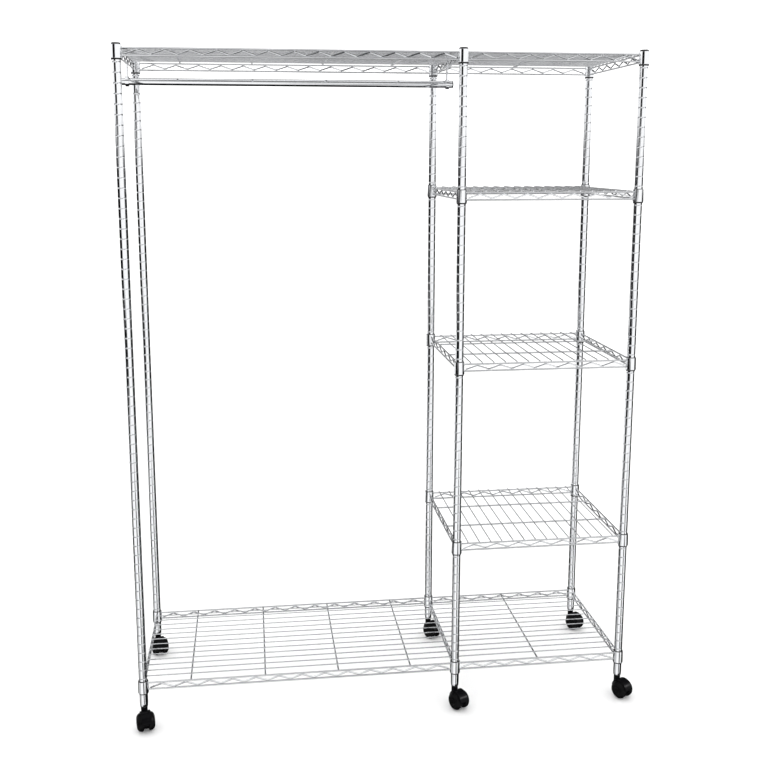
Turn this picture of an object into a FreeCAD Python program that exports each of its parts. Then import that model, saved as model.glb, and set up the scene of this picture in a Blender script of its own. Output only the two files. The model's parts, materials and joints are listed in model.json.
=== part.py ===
import FreeCAD, Part

import math
import os
import re

import Sketcher
from FreeCAD import Rotation, Vector

# Driving sizes of the rack: millimetres, degrees and counts
SIZES = {
    # plan, from post axis to post axis
    "left_bay": 865,
    "right_bay": 480,
    "row_spacing": 429,
    # round posts with ring grooves, which hold the shelf sleeves
    "post_diameter": 22.2,
    "post_wall": 1.2,
    "post_length": 1748.5,
    "post_foot_height": 62.5,
    "foot_taper_depth": 0.6,
    "foot_taper_length": 8,
    "groove_spacing": 25.4,
    "groove_depth": 0.5,
    "groove_width": 2,
    "first_seat": 55,
    # seats of the right bay's shelves, as shares of the grooves from the bottom to the top shelf
    "lower_seat_share": 0.212,
    "middle_seat_share": 0.515,
    "upper_seat_share": 0.788,
    # push-in post caps and foot plugs
    "cap_height": 4,
    "cap_bevel": 1.2,
    "cap_plug_length": 14,
    "plug_fit": 0.05,
    "foot_plug_length": 36,
    "foot_flange_diameter": 21,
    "foot_flange_height": 2.5,
    # split tapered sleeves and the shelf collars wedged on them
    "sleeve_fit": 0.05,
    "sleeve_wall_low": 1.95,
    "sleeve_wall_high": 1.2,
    "sleeve_lip": 1.5,
    "sleeve_end_relief": 0.1,
    "sleeve_half_angle": 176,
    "collar_height": 33,
    "collar_wall": 1.1,
    "collar_fit": 0.05,
    # edge trusses: two rails with a zigzag wire between them
    "rail_diameter": 4.5,
    "rail_spacing": 18.5,
    "zigzag_diameter": 4.2,
    "zigzag_spacing": 65,
    "weld_gap": 0.2,
    # deck wires and the heavier cross wires under them
    "deck_wire_diameter": 3,
    "cross_wire_diameter": 4.5,
    "long_deck_count": 13,
    "long_cross_count": 4,
    "long_cross_inset": 128,
    "square_deck_count": 14,
    "square_cross_inset": 137,
    # hanging rod and the hangers that hook it on the top shelf
    "rod_diameter": 19,
    "rod_wall": 1.2,
    "rod_drop": 40,
    "rod_overhang": 14,
    "rod_fit": 0.1,
    "rod_cap_rim": 2.5,
    "rod_cap_plug_length": 12,
    "hanger_ring_width": 9,
    "hanger_ring_wall": 3.5,
    "hanger_strap_thickness": 4,
    "hanger_strap_width": 14,
    "hanger_hook_wall": 2.2,
    "hook_fit": 0.1,
    # swivel casters with two wheels each
    "wheel_diameter": 50,
    "wheel_width": 17,
    "wheel_hub_diameter": 18,
    "wheel_rim_depth": 5.5,
    "wheel_cover_wall": 6,
    "wheel_dish_depth": 1.2,
    "wheel_dish_slope": 3,
    "wheel_side_gap": 0.5,
    # rounding of a wheel's two edges as shares of its width, and its dish as a share of its flat side
    "wheel_dome_share": 0.7,
    "wheel_inner_edge_share": 0.22,
    "wheel_dish_share": 0.8,
    "caster_trail": 21,
    "hood_web_thickness": 13,
    "hood_width": 28,
    "hood_edge_radius": 1.8,
    "hood_sweep": 156,
    "hood_hub_diameter": 38,
    "fender_gap": 1.3,
    "fender_wall": 2.2,
    "boss_diameter": 18,
    "boss_length": 21,
    "swivel_gap": 0.3,
    "axle_diameter": 6,
    "axle_fit": 0.05,
    "axle_end_gap": 0.5,
    "axle_cover_wall": 4,
    "stem_diameter": 10,
    "stem_shoulder_diameter": 16,
    "stem_shoulder_height": 1.7,
    "pivot_diameter": 8,
    "pivot_length": 18,
    "pivot_fit": 0.05,
    # which way each caster trails at rest, turned from the front towards the right
    "front_left_swivel": 13,
    "front_middle_swivel": 24,
    "front_right_swivel": 26,
    "back_left_swivel": 19,
    "back_middle_swivel": 30,
    "back_right_swivel": 26,
}

RIGHT_ANGLE = 90
HALF_TURN = "180"
FULL_TURN = "360"
MITRED = 1

doc = FreeCAD.newDocument("open_frame_wardrobe")
sheet = doc.addObject("Spreadsheet::Sheet", "Sizes")
for row, (alias, number) in enumerate(SIZES.items(), start=1):
    sheet.set(f"A{row}", alias)
    sheet.set(f"B{row}", str(number))
    sheet.setAlias(f"B{row}", alias)
doc.recompute()

ALIAS = re.compile(r"\b(" + "|".join(SIZES) + r")\b")
nodes = []


def formula(text):
    """Expression on the size sheet from a sum of size names."""
    return ALIAS.sub(r"Sizes.\1", text)


def value(text):
    """What a sum of size names comes to now."""
    return float(sheet.evalExpression(formula(text)))


def bind(thing, **formulas):
    """Tie a document object's properties to the size sheet."""
    for name, text in formulas.items():
        thing.setExpression(name, formula(text))


def move(thing, x, y, z):
    """Tie a document object's position to the size sheet."""
    for letter, text in zip("xyz", (x, y, z)):
        thing.setExpression(f"Placement.Base.{letter}", formula(text))


def origin_part(body, role):
    """One of a body's own origin planes or axes."""
    return next(part for part in body.Origin.OriginFeatures if part.Role == role)


def new_sketch(body, name, plane):
    """Empty sketch on one of the body's origin planes."""
    sketch = body.newObject("Sketcher::SketchObject", name)
    sketch.AttachmentSupport = (origin_part(body, plane), [""])
    sketch.MapMode = "FlatFace"
    return sketch


def pin_point(sketch, geometry, point, x, y=None):
    """Hold a sketch point at sums of sizes from the sketch's origin, along one axis or both."""
    for kind, text in (("DistanceX", x), ("DistanceY", y)):
        if text is None:
            continue
        rule = Sketcher.Constraint(kind, -1, 1, geometry, point, value(text))
        index = sketch.addConstraint(rule)
        sketch.setExpression(f"Constraints[{index}]", formula(text))


def arc_between(start, finish, x):
    """Arc between two points about a middle at a known x, and whether it runs from the first point."""
    spread = (start.x - x) ** 2 + start.y ** 2 - (finish.x - x) ** 2 - finish.y ** 2
    middle = Vector(x, spread / (2 * (start.y - finish.y)), 0)
    forward = (start - middle).cross(finish - middle).z > 0
    ends = (start, finish) if forward else (finish, start)
    circle = Part.Circle(middle, Vector(0, 0, 1), (start - middle).Length)
    angles = [math.atan2(end.y - middle.y, end.x - middle.x) for end in ends]
    return Part.ArcOfCircle(circle, *angles), forward


def outline(body, name, plane, corners):
    """Closed sketch through corners given as sums of sizes.

    Its sides are straight. After a corner with a third sum, the side is an arc about a middle at that x.
    """
    sketch = new_sketch(body, name, plane)
    points = [Vector(value(x), value(y), 0) for x, y, *_ in corners]
    ends = []
    for side, (_, _, *middle) in enumerate(corners):
        start, finish = points[side], points[(side + 1) % len(points)]
        forward = True
        line = Part.LineSegment(start, finish)
        if middle:
            line, forward = arc_between(start, finish, value(middle[0]))
        sketch.addGeometry(line)
        ends.append((1, 2) if forward else (2, 1))
    for side, (_, end) in enumerate(ends):
        after = (side + 1) % len(ends)
        sketch.addConstraint(Sketcher.Constraint("Coincident", side, end, after, ends[after][0]))
    for side, (x, y, *middle) in enumerate(corners):
        pin_point(sketch, side, ends[side][0], x, y)
        if middle:
            pin_point(sketch, side, 3, middle[0])
    return sketch


def disc(body, name, radius, x, y, lift):
    """Circle sketched level, at a height above the body's origin."""
    sketch = new_sketch(body, name, "XY_Plane")
    sketch.addGeometry(Part.Circle(Vector(value(x), value(y), 0), Vector(0, 0, 1), value(radius)))
    pin_point(sketch, 0, 3, x, y)
    index = sketch.addConstraint(Sketcher.Constraint("Radius", 0, value(radius)))
    sketch.setExpression(f"Constraints[{index}]", formula(radius))
    sketch.setExpression("AttachmentOffset.Base.z", formula(lift))
    return sketch


def turned(name, axis, corners, sweep=FULL_TURN, centred=False):
    """Body turned about its X or Z axis from an outline in its XZ plane."""
    body = doc.addObject("PartDesign::Body", name)
    turn = body.newObject("PartDesign::Revolution", f"{name}_turn")
    turn.Profile = outline(body, f"{name}_outline", "XZ_Plane", corners)
    turn.ReferenceAxis = (origin_part(body, f"{axis}_Axis"), [""])
    turn.Midplane = centred
    bind(turn, Angle=sweep)
    return body


def cut_round(body, name, axis, corners):
    """Groove turned out of a body about its X or Z axis."""
    groove = body.newObject("PartDesign::Groove", name)
    groove.Profile = outline(body, f"{name}_outline", "XZ_Plane", corners)
    groove.ReferenceAxis = (origin_part(body, f"{axis}_Axis"), [""])
    bind(groove, Angle=FULL_TURN)
    return groove


def placed(master, name, x, y, z, turn=None):
    """Copy of a master piece at a place, turned about the vertical."""
    copy = doc.addObject("App::Link", name)
    copy.LinkedObject = master
    copy.LinkTransform = False
    move(copy, x, y, z)
    if turn:
        copy.setExpression("Placement.Rotation.Angle", formula(turn))
    return copy


def add_node(label, pieces):
    """Named sub-part that holds one piece or a group of like pieces."""
    group = doc.addObject("Part::Compound", label)
    group.Label = label
    group.Links = pieces
    nodes.append(group)


def cylinder(name, axis, diameter, length, x, y, z):
    """Round bar that starts at a point and runs along an axis."""
    bar = doc.addObject("Part::Cylinder", name)
    turns = {"X": Rotation(Vector(0, 1, 0), RIGHT_ANGLE), "Y": Rotation(Vector(1, 0, 0), -RIGHT_ANGLE)}
    bar.Placement.Rotation = turns[axis]
    bind(bar, Radius=f"({diameter}) / 2", Height=length)
    move(bar, x, y, z)
    return bar


def block(name, size, corner):
    """Box with its low corner at a point."""
    box = doc.addObject("Part::Box", name)
    bind(box, Length=size[0], Width=size[1], Height=size[2])
    move(box, *corner)
    return box


def less(name, base, tools):
    """Piece with other pieces cut out of it."""
    for count, tool in enumerate(tools):
        cut = doc.addObject("Part::Cut", f"{name}_cut_{count}")
        cut.Base = base
        cut.Tool = tool
        base = cut
    return base


# Places shared by the pieces
COLUMN_X = {
    "left": "(-(left_bay + right_bay) / 2)",
    "middle": "((left_bay - right_bay) / 2)",
    "right": "((left_bay + right_bay) / 2)",
}
ROW_Y = {"front": "(-row_spacing / 2)", "back": "(row_spacing / 2)"}
POSTS = [(row, column) for row in ROW_Y for column in COLUMN_X]
TOP_GROOVE = "floor((post_length - first_seat - collar_height / 2) / groove_spacing)"
SHELF_GROOVES = {
    "bottom": "0",
    "lower": f"round(lower_seat_share * {TOP_GROOVE})",
    "middle": f"round(middle_seat_share * {TOP_GROOVE})",
    "upper": f"round(upper_seat_share * {TOP_GROOVE})",
    "top": TOP_GROOVE,
}
FULL_WIDTH = ("bottom", "top")
POST_RADIUS = "(post_diameter / 2)"
TUBE_BORE = "(post_diameter / 2 - post_wall)"
SLEEVE_BORE = f"({POST_RADIUS} + sleeve_fit)"
RAIL_RADIUS = "(rail_diameter / 2)"


def seat_height(shelf):
    """Height of a shelf's groove above the foot of the posts."""
    return f"(first_seat + {SHELF_GROOVES[shelf]} * groove_spacing)"


def shelf_height(shelf):
    """Height of the lower edge of a shelf's collars above the floor."""
    return f"(post_foot_height + {seat_height(shelf)} - collar_height / 2)"


def sleeve_radius(height):
    """Radius of a sleeve's outer cone at a height above its collar's lower edge."""
    thinning = f"(sleeve_wall_high - sleeve_wall_low) * ({height}) / collar_height"
    return f"({SLEEVE_BORE} + sleeve_wall_low + {thinning})"


def collar_radius(height):
    """Radius of a collar's outside at a height above its lower edge."""
    return f"({sleeve_radius(height)} + collar_fit + collar_wall)"


LOW_RAIL = "((collar_height - rail_spacing) / 2)"
HIGH_RAIL = "((collar_height + rail_spacing) / 2)"


def posts():
    """Grooved tubes, one for each column and row, and the plugs in their ends."""
    tube = turned("post_tube", "Z", [
        (TUBE_BORE, "0"),
        (f"{POST_RADIUS} - foot_taper_depth", "0"),
        (POST_RADIUS, "foot_taper_length"),
        (POST_RADIUS, "post_length"),
        (TUBE_BORE, "post_length"),
    ])
    ring = cut_round(tube, "post_ring_groove", "Z", [
        (f"{POST_RADIUS} - groove_depth", "first_seat"),
        (f"{POST_RADIUS} + groove_depth", "first_seat - groove_width"),
        (f"{POST_RADIUS} + groove_depth", "first_seat + groove_width"),
    ])
    rings = tube.newObject("PartDesign::LinearPattern", "post_ring_grooves")
    rings.Originals = [ring]
    rings.Direction = (origin_part(tube, "Z_Axis"), [""])
    rings.Mode = "Spacing"
    bind(rings, Offset="groove_spacing", Occurrences="floor((post_length - first_seat) / groove_spacing) + 1")
    tube.Tip = rings
    plug = f"({TUBE_BORE} - plug_fit)"
    cap = turned("cap", "Z", [
        ("0", "-cap_plug_length"),
        (plug, "-cap_plug_length"),
        (plug, "0"),
        (POST_RADIUS, "0"),
        (POST_RADIUS, "cap_height - cap_bevel"),
        (f"{POST_RADIUS} - cap_bevel", "cap_height"),
        ("0", "cap_height"),
    ])
    stem_bore = "(stem_diameter / 2 + plug_fit)"
    foot = turned("foot", "Z", [
        (stem_bore, "foot_plug_length"),
        (plug, "foot_plug_length"),
        (plug, "0"),
        ("foot_flange_diameter / 2", "0"),
        ("foot_flange_diameter / 2", "-foot_flange_height"),
        (stem_bore, "-foot_flange_height"),
    ])
    caps = []
    feet = []
    for row, column in POSTS:
        x, y = COLUMN_X[column], ROW_Y[row]
        post = placed(tube, f"{row}_{column}_tube", x, y, "post_foot_height")
        add_node(f"{row}_{column}_post", [post])
        caps.append(placed(cap, f"{row}_{column}_cap", x, y, "post_foot_height + post_length"))
        feet.append(placed(foot, f"{row}_{column}_foot", x, y, "post_foot_height"))
    add_node("post_top_caps", caps)
    add_node("post_foot_plugs", feet)


def shelf_seats():
    """Split sleeves snapped on the posts and the welded collars that wedge on them."""
    rib = "collar_height / 2"
    mouth = f"{SLEEVE_BORE} + sleeve_end_relief"
    half = turned("sleeve_half", "Z", [
        (mouth, "-sleeve_lip"),
        (sleeve_radius("-sleeve_lip"), "-sleeve_lip"),
        (sleeve_radius("collar_height + sleeve_lip"), "collar_height + sleeve_lip"),
        (mouth, "collar_height + sleeve_lip"),
        (SLEEVE_BORE, f"{rib} + groove_width / 2"),
        (f"{SLEEVE_BORE} - groove_depth", rib),
        (SLEEVE_BORE, f"{rib} - groove_width / 2"),
    ], "sleeve_half_angle")
    collar = turned("collar", "Z", [
        (f"{sleeve_radius('0')} + collar_fit", "0"),
        (collar_radius("0"), "0"),
        (collar_radius("collar_height"), "collar_height"),
        (f"{sleeve_radius('collar_height')} + collar_fit", "collar_height"),
    ])
    for shelf in SHELF_GROOVES:
        z = shelf_height(shelf)
        sleeves = []
        collars = []
        for row, column in POSTS:
            if column == "left" and shelf not in FULL_WIDTH:
                continue
            x, y = COLUMN_X[column], ROW_Y[row]
            name = f"{shelf}_{row}_{column}"
            sleeves.append(placed(half, f"{name}_sleeve_near", x, y, z))
            sleeves.append(placed(half, f"{name}_sleeve_far", x, y, z, HALF_TURN))
            collars.append(placed(collar, f"{name}_collar", x, y, z))
        add_node(f"{shelf}_shelf_sleeves", sleeves)
        add_node(f"{shelf}_shelf_collars", collars)


def zigzag(name, start, finish, low, high):
    """Round wire bent to and fro between two rails, with mitred bends.

    Its middle bend always meets the upper rail, so that the lower rail is free there.
    """
    run = finish - start
    pitches = max(1, round(run.Length / value("zigzag_spacing")))
    bends = [start + run * (step / (2 * pitches)) for step in range(2 * pitches + 1)]
    for step, bend in enumerate(bends):
        bend.z = high if (step - pitches) % 2 == 0 else low
    section = Part.Circle(bends[0], bends[1] - bends[0], value("zigzag_diameter / 2"))
    wire = doc.addObject("Part::Feature", name)
    path = Part.makePolygon(bends)
    wire.Shape = path.makePipeShell([Part.Wire(section.toShape())], True, False, MITRED)
    return wire


def truss(name, axis, ends, across, height):
    """Two rails and their zigzag, welded between two collars."""
    bars = []
    for rail, level in (("low", LOW_RAIL), ("high", HIGH_RAIL)):
        reach = collar_radius(f"{level} - {RAIL_RADIUS}")
        start = f"{ends[0]} + {reach}"
        length = f"{ends[1]} - {ends[0]} - 2 * {reach}"
        z = f"{height} + {level}"
        place = (start, across, z) if axis == "X" else (across, start, z)
        bars.append(cylinder(f"{name}_{rail}_rail", axis, "rail_diameter", length, *place))
    reach = f"({collar_radius('0')} + zigzag_diameter)"
    lift = f"({RAIL_RADIUS} + zigzag_diameter / 2 + weld_gap)"
    low = value(f"{height} + {LOW_RAIL} + {lift}")
    high = value(f"{height} + {HIGH_RAIL} - {lift}")
    begin, end = value(f"{ends[0]} + {reach}"), value(f"{ends[1]} - {reach}")
    side = value(across)
    if axis == "X":
        points = Vector(begin, side, 0), Vector(end, side, 0)
    else:
        points = Vector(side, begin, 0), Vector(side, end, 0)
    bars.append(zigzag(f"{name}_zigzag", *points, low, high))
    return bars


def shelf_trusses(shelf):
    """Edge trusses all round a shelf, and across its middle where it spans both bays."""
    columns = ["left", "middle", "right"] if shelf in FULL_WIDTH else ["middle", "right"]
    height = shelf_height(shelf)
    bars = []
    for row in ROW_Y:
        for near, far in zip(columns, columns[1:]):
            ends = COLUMN_X[near], COLUMN_X[far]
            bars += truss(f"{shelf}_{row}_{near}", "X", ends, ROW_Y[row], height)
    for column in columns:
        ends = ROW_Y["front"], ROW_Y["back"]
        bars += truss(f"{shelf}_{column}_side", "Y", ends, COLUMN_X[column], height)
    add_node(f"{shelf}_shelf_trusses", bars)


def long_deck(shelf):
    """Deck of a full width shelf: wires along it, over cross wires from front to back."""
    level = f"{shelf_height(shelf)} + {HIGH_RAIL}"
    wires = []
    count = int(value("long_deck_count"))
    for index in range(1, count + 1):
        y = f"{ROW_Y['front']} + row_spacing * {index} / {count + 1}"
        wires.append(cylinder(
            f"{shelf}_deck_wire_{index}", "X", "deck_wire_diameter",
            "left_bay + right_bay + rail_diameter",
            f"{COLUMN_X['left']} - {RAIL_RADIUS}", y,
            f"{level} + {RAIL_RADIUS} + deck_wire_diameter / 2",
        ))
    crossings = int(value("long_cross_count"))
    places = [f"{COLUMN_X['middle']} + right_bay / 2"]
    for index in range(crossings):
        step = f"(left_bay - 2 * long_cross_inset) * {index} / {max(1, crossings - 1)}"
        places.append(f"{COLUMN_X['left']} + long_cross_inset + {step}")
    for index, x in enumerate(places, start=1):
        wires.append(cylinder(
            f"{shelf}_cross_wire_{index}", "Y", "cross_wire_diameter",
            "row_spacing - rail_diameter",
            x, f"{ROW_Y['front']} + {RAIL_RADIUS}",
            f"{level} + {RAIL_RADIUS} - cross_wire_diameter / 2",
        ))
    add_node(f"{shelf}_shelf_deck_wires", wires)


def square_deck(shelf):
    """Deck of a right bay shelf: wires from front to back, over two cross wires."""
    level = f"{shelf_height(shelf)} + {HIGH_RAIL}"
    wires = []
    count = int(value("square_deck_count"))
    for index in range(1, count + 1):
        wires.append(cylinder(
            f"{shelf}_deck_wire_{index}", "Y", "deck_wire_diameter",
            "row_spacing + rail_diameter",
            f"{COLUMN_X['middle']} + right_bay * {index} / {count + 1}",
            f"{ROW_Y['front']} - {RAIL_RADIUS}",
            f"{level} + {RAIL_RADIUS} + deck_wire_diameter / 2",
        ))
    for row, inward in (("front", "+"), ("back", "-")):
        wires.append(cylinder(
            f"{shelf}_{row}_cross_wire", "X", "cross_wire_diameter",
            "right_bay - rail_diameter",
            f"{COLUMN_X['middle']} + {RAIL_RADIUS}",
            f"{ROW_Y[row]} {inward} square_cross_inset",
            f"{level} + {RAIL_RADIUS} - cross_wire_diameter / 2",
        ))
    add_node(f"{shelf}_shelf_deck_wires", wires)


def hanging_rod():
    """Rod in the left bay, its end caps, and the hangers that hook it under the top shelf."""
    height = f"({shelf_height('top')} - rod_drop)"
    start = f"({COLUMN_X['left']} - rod_overhang)"
    length = "(left_bay + 2 * rod_overhang)"
    bore = "(rod_diameter - 2 * rod_wall)"
    tube = cylinder("rod_outside", "X", "rod_diameter", length, start, "0", height)
    hollow = cylinder("rod_bore", "X", bore, length, start, "0", height)
    add_node("hanging_rod", [less("rod", tube, [hollow])])

    plug = f"({bore} / 2 - plug_fit)"
    cap = turned("rod_cap", "X", [
        ("-rod_cap_plug_length", "0"),
        ("rod_cap_rim", "0"),
        ("rod_cap_rim", "rod_diameter / 2 - cap_bevel"),
        ("rod_cap_rim - cap_bevel", "rod_diameter / 2"),
        ("0", "rod_diameter / 2"),
        ("0", plug),
        ("-rod_cap_plug_length", plug),
    ])
    left_cap = placed(cap, "rod_cap_left", start, "0", height, HALF_TURN)
    right_cap = placed(cap, "rod_cap_right", f"{start} + {length}", "0", height)
    add_node("hanging_rod_end_caps", [left_cap, right_cap])

    drop = f"({LOW_RAIL} + rod_drop)"
    ring = "(rod_diameter + 2 * rod_fit + 2 * hanger_ring_wall)"
    hook = "(rail_diameter + 2 * hook_fit + 2 * hanger_hook_wall)"
    mouth = "(rail_diameter + 2 * hook_fit)"
    half_strap = "-hanger_strap_width / 2"
    half_ring = "-hanger_ring_width / 2"
    body = doc.addObject("Part::MultiFuse", "hanger_body")
    body.Shapes = [
        cylinder("hanger_ring", "X", ring, "hanger_ring_width", half_ring, "0", f"-{drop}"),
        cylinder("hanger_hook", "Y", hook, "hanger_strap_width", "0", half_strap, "0"),
        block(
            "hanger_strap",
            ("hanger_strap_thickness", "hanger_strap_width", drop),
            ("-hanger_strap_thickness / 2", half_strap, f"-{drop}"),
        ),
    ]
    hanger = less("hanger", body, [
        cylinder("hanger_rod_hole", "X", "rod_diameter + 2 * rod_fit", ring, f"-{ring} / 2", "0", f"-{drop}"),
        cylinder("hanger_rail_hole", "Y", mouth, ring, "0", f"-{ring} / 2", "0"),
        block("hanger_mouth", (hook, ring, mouth), ("0", f"-{ring} / 2", f"-{mouth} / 2")),
    ])
    for column in ("left", "middle"):
        z = f"{height} + {drop}"
        hung = placed(hanger, f"{column}_hanger_piece", COLUMN_X[column], "0", z)
        add_node(f"{column}_rod_hanger", [hung])


def caster_masters():
    """Hood, wheel, axle and stem of a twin-wheel caster, about the middle of its axle."""
    wheel_radius = "(wheel_diameter / 2)"
    well = f"({wheel_radius} + fender_gap)"
    fender = f"({well} + fender_wall)"
    web = "(hood_web_thickness / 2)"
    side = "(hood_width / 2)"
    hub = "(hood_hub_diameter / 2)"
    bore = "(axle_diameter / 2 + axle_fit)"
    neck = "foot_flange_height + stem_shoulder_height"
    top = f"(post_foot_height - ({neck}) - swivel_gap - {wheel_radius})"

    brow = f"({side} - hood_edge_radius)"
    hood = turned("hood", "X", [
        (f"-{side}", "0"),
        (side, "0"),
        (side, f"{fender} - hood_edge_radius", brow),
        (brow, fender),
        (f"-{brow}", fender, f"-{brow}"),
        (f"-{side}", f"{fender} - hood_edge_radius"),
    ], "hood_sweep", True)
    boss = hood.newObject("PartDesign::Pad", "hood_boss")
    boss.Profile = disc(
        hood, "hood_boss_outline", "boss_diameter / 2", "0", "caster_trail", f"{top} - boss_length",
    )
    bind(boss, Length="boss_length")
    for name, sign in (("right", ""), ("left", "-")):
        cut_round(hood, f"hood_{name}_well", "X", [
            (f"{sign}{web}", "0"), (f"{sign}wheel_diameter", "0"),
            (f"{sign}wheel_diameter", well), (f"{sign}{web}", well),
        ])
    ring = hood.newObject("PartDesign::Revolution", "hood_axle_hub")
    ring.Profile = outline(hood, "hood_axle_hub_outline", "XZ_Plane", [
        (f"-{web}", "0"), (web, "0"), (web, hub), (f"-{web}", hub),
    ])
    ring.ReferenceAxis = (origin_part(hood, "X_Axis"), [""])
    cut_round(hood, "hood_axle_bore", "X", [
        (f"-{side}", "0"), (side, "0"), (side, bore), (f"-{side}", bore),
    ])
    pivot = hood.newObject("PartDesign::Pocket", "hood_pivot_bore")
    pivot.Profile = disc(
        hood, "hood_pivot_outline", "pivot_diameter / 2 + pivot_fit", "0", "caster_trail", top,
    )
    bind(pivot, Length="pivot_length + swivel_gap")

    inside = f"({web} + wheel_side_gap)"
    outside = f"({inside} + wheel_width)"
    rim = f"({wheel_radius} - wheel_rim_depth)"
    dome = "(wheel_dome_share * wheel_width)"
    inner_edge = "(wheel_inner_edge_share * wheel_width)"
    dish = f"(wheel_dish_share * ({wheel_radius} - {dome}))"
    wheel = turned("wheel", "X", [
        (inside, bore),
        (inside, "wheel_hub_diameter / 2"),
        (f"{outside} - wheel_cover_wall", "wheel_hub_diameter / 2"),
        (f"{outside} - wheel_cover_wall", rim),
        (inside, rim),
        (inside, f"{wheel_radius} - {inner_edge}", f"{inside} + {inner_edge}"),
        (f"{inside} + {inner_edge}", wheel_radius),
        (f"{outside} - {dome}", wheel_radius, f"{outside} - {dome}"),
        (outside, f"{wheel_radius} - {dome}"),
        (outside, dish),
        (f"{outside} - wheel_dish_depth", f"{dish} - wheel_dish_slope"),
        (f"{outside} - wheel_dish_depth", "0"),
        (f"{outside} - axle_cover_wall", "0"),
        (f"{outside} - axle_cover_wall", bore),
    ])
    reach = f"({outside} - axle_cover_wall - axle_end_gap)"
    axle = turned("axle", "X", [
        (f"-{reach}", "0"), (reach, "0"), (reach, "axle_diameter / 2"), (f"-{reach}", "axle_diameter / 2"),
    ])
    stem = turned("stem", "Z", [
        ("0", "foot_plug_length"),
        ("stem_diameter / 2", "foot_plug_length"),
        ("stem_diameter / 2", "-foot_flange_height"),
        ("stem_shoulder_diameter / 2", "-foot_flange_height"),
        ("stem_shoulder_diameter / 2", f"-({neck})"),
        ("pivot_diameter / 2", f"-({neck})"),
        ("pivot_diameter / 2", f"-({neck}) - pivot_length"),
        ("0", f"-({neck}) - pivot_length"),
    ])
    return hood, wheel, axle, stem


def casters():
    """Six swivel casters: stems fixed in the posts, hoods, axles and free wheels."""
    hood, wheel, axle, stem = caster_masters()
    stems = []
    for row, column in POSTS:
        post = f"{row}_{column}"
        swivel = f"{post}_swivel"
        stems.append(placed(stem, f"{post}_stem", COLUMN_X[column], ROW_Y[row], "post_foot_height"))
        x = f"{COLUMN_X[column]} + caster_trail * sin({swivel})"
        y = f"{ROW_Y[row]} - caster_trail * cos({swivel})"
        z = "wheel_diameter / 2"
        pieces = (
            ("hood", hood, swivel),
            ("axle", axle, swivel),
            ("wheel_right", wheel, swivel),
            ("wheel_left", wheel, f"{swivel} + {HALF_TURN}"),
        )
        for piece, master, turn in pieces:
            label = f"{post}_caster_{piece}"
            add_node(label, [placed(master, f"{label}_piece", x, y, z, turn)])
    add_node("caster_stems", stems)


posts()
shelf_seats()
for shelf in SHELF_GROOVES:
    shelf_trusses(shelf)
    if shelf in FULL_WIDTH:
        long_deck(shelf)
    else:
        square_deck(shelf)
hanging_rod()
casters()
doc.recompute()

for thing in doc.Objects:
    if "Invalid" in thing.State or "Error" in thing.State:
        raise RuntimeError(f"{thing.Label} failed: {thing.State}")
for node in nodes:
    if node.Shape.isNull() or not node.Shape.isValid():
        raise RuntimeError(f"{node.Label} has no valid shape")

os.makedirs("parts", exist_ok=True)
for node in nodes:
    node.Shape.exportStep(os.path.join("parts", f"{node.Label}.step"))
    print(node.Label, len(node.Shape.Solids), "solids")
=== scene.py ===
"""Dresses the open frame wardrobe.

Grooved chrome posts on twin-wheel casters carry five welded wire shelves, and a hanging rod is hooked
under the top one. Every size is in metres, in the frame of the CAD model.
"""

import json
import logging
import math
from collections.abc import Iterator, Mapping, Sequence
from contextlib import contextmanager
from dataclasses import dataclass
from enum import Enum
from typing import Any

import bmesh
import bpy
from bpy.types import Material, Object
from mathutils import Matrix, Vector

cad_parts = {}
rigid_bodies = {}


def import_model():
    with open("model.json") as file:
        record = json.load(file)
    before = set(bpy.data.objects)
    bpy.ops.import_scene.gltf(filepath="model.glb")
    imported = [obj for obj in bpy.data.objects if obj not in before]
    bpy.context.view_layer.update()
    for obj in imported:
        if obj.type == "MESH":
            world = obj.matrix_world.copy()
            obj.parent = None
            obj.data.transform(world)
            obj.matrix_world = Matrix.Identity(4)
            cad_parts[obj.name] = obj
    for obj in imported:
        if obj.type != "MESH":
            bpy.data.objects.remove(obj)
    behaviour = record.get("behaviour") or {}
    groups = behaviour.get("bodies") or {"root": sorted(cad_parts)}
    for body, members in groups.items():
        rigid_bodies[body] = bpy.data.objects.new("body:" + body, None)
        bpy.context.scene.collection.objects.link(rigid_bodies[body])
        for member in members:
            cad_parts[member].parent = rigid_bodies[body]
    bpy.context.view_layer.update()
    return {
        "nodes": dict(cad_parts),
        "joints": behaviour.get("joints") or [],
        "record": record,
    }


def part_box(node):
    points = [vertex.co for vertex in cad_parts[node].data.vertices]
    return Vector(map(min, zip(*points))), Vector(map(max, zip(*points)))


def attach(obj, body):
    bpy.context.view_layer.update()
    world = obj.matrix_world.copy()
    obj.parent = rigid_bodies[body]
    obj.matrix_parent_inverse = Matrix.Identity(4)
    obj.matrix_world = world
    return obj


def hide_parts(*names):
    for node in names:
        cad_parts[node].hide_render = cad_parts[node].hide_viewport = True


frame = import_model()

LOG = logging.getLogger("wardrobe")
MM = 0.001
# Points that are closer than this become one
WELD = 1e-6
# Edges that turn by more degrees than this stay sharp or are rounded
SHARP_EDGE = 35.0
# A face is an end of a wire where its normal lies along the wire by more than this
END_FACING = 0.9
# How many steps round a wire's cut ends and its bends
NIP_STEPS = 2
BEND_STEPS = 3
# The tip of a cap's plug as a share of its radius, and where the full radius starts along it
PLUG_TIP_SHARE = 0.9
PLUG_LEAD_SHARE = 0.85
# Sizes that more than one class goes by
RING_SPACING = 25.4 * MM
RAIL_RADIUS = 2.25 * MM
LOWER_RAIL = 7.25 * MM
FLANGE_HEIGHT = 2.5 * MM
FOOT_PLUG_LENGTH = 36.0 * MM

Ring = tuple[float, float]
Colour = tuple[float, float, float, float]


class Row(Enum):
    """The two rows of posts."""

    FRONT = "front"
    BACK = "back"


class Column(Enum):
    """The three columns of posts."""

    LEFT = "left"
    MIDDLE = "middle"
    RIGHT = "right"


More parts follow.
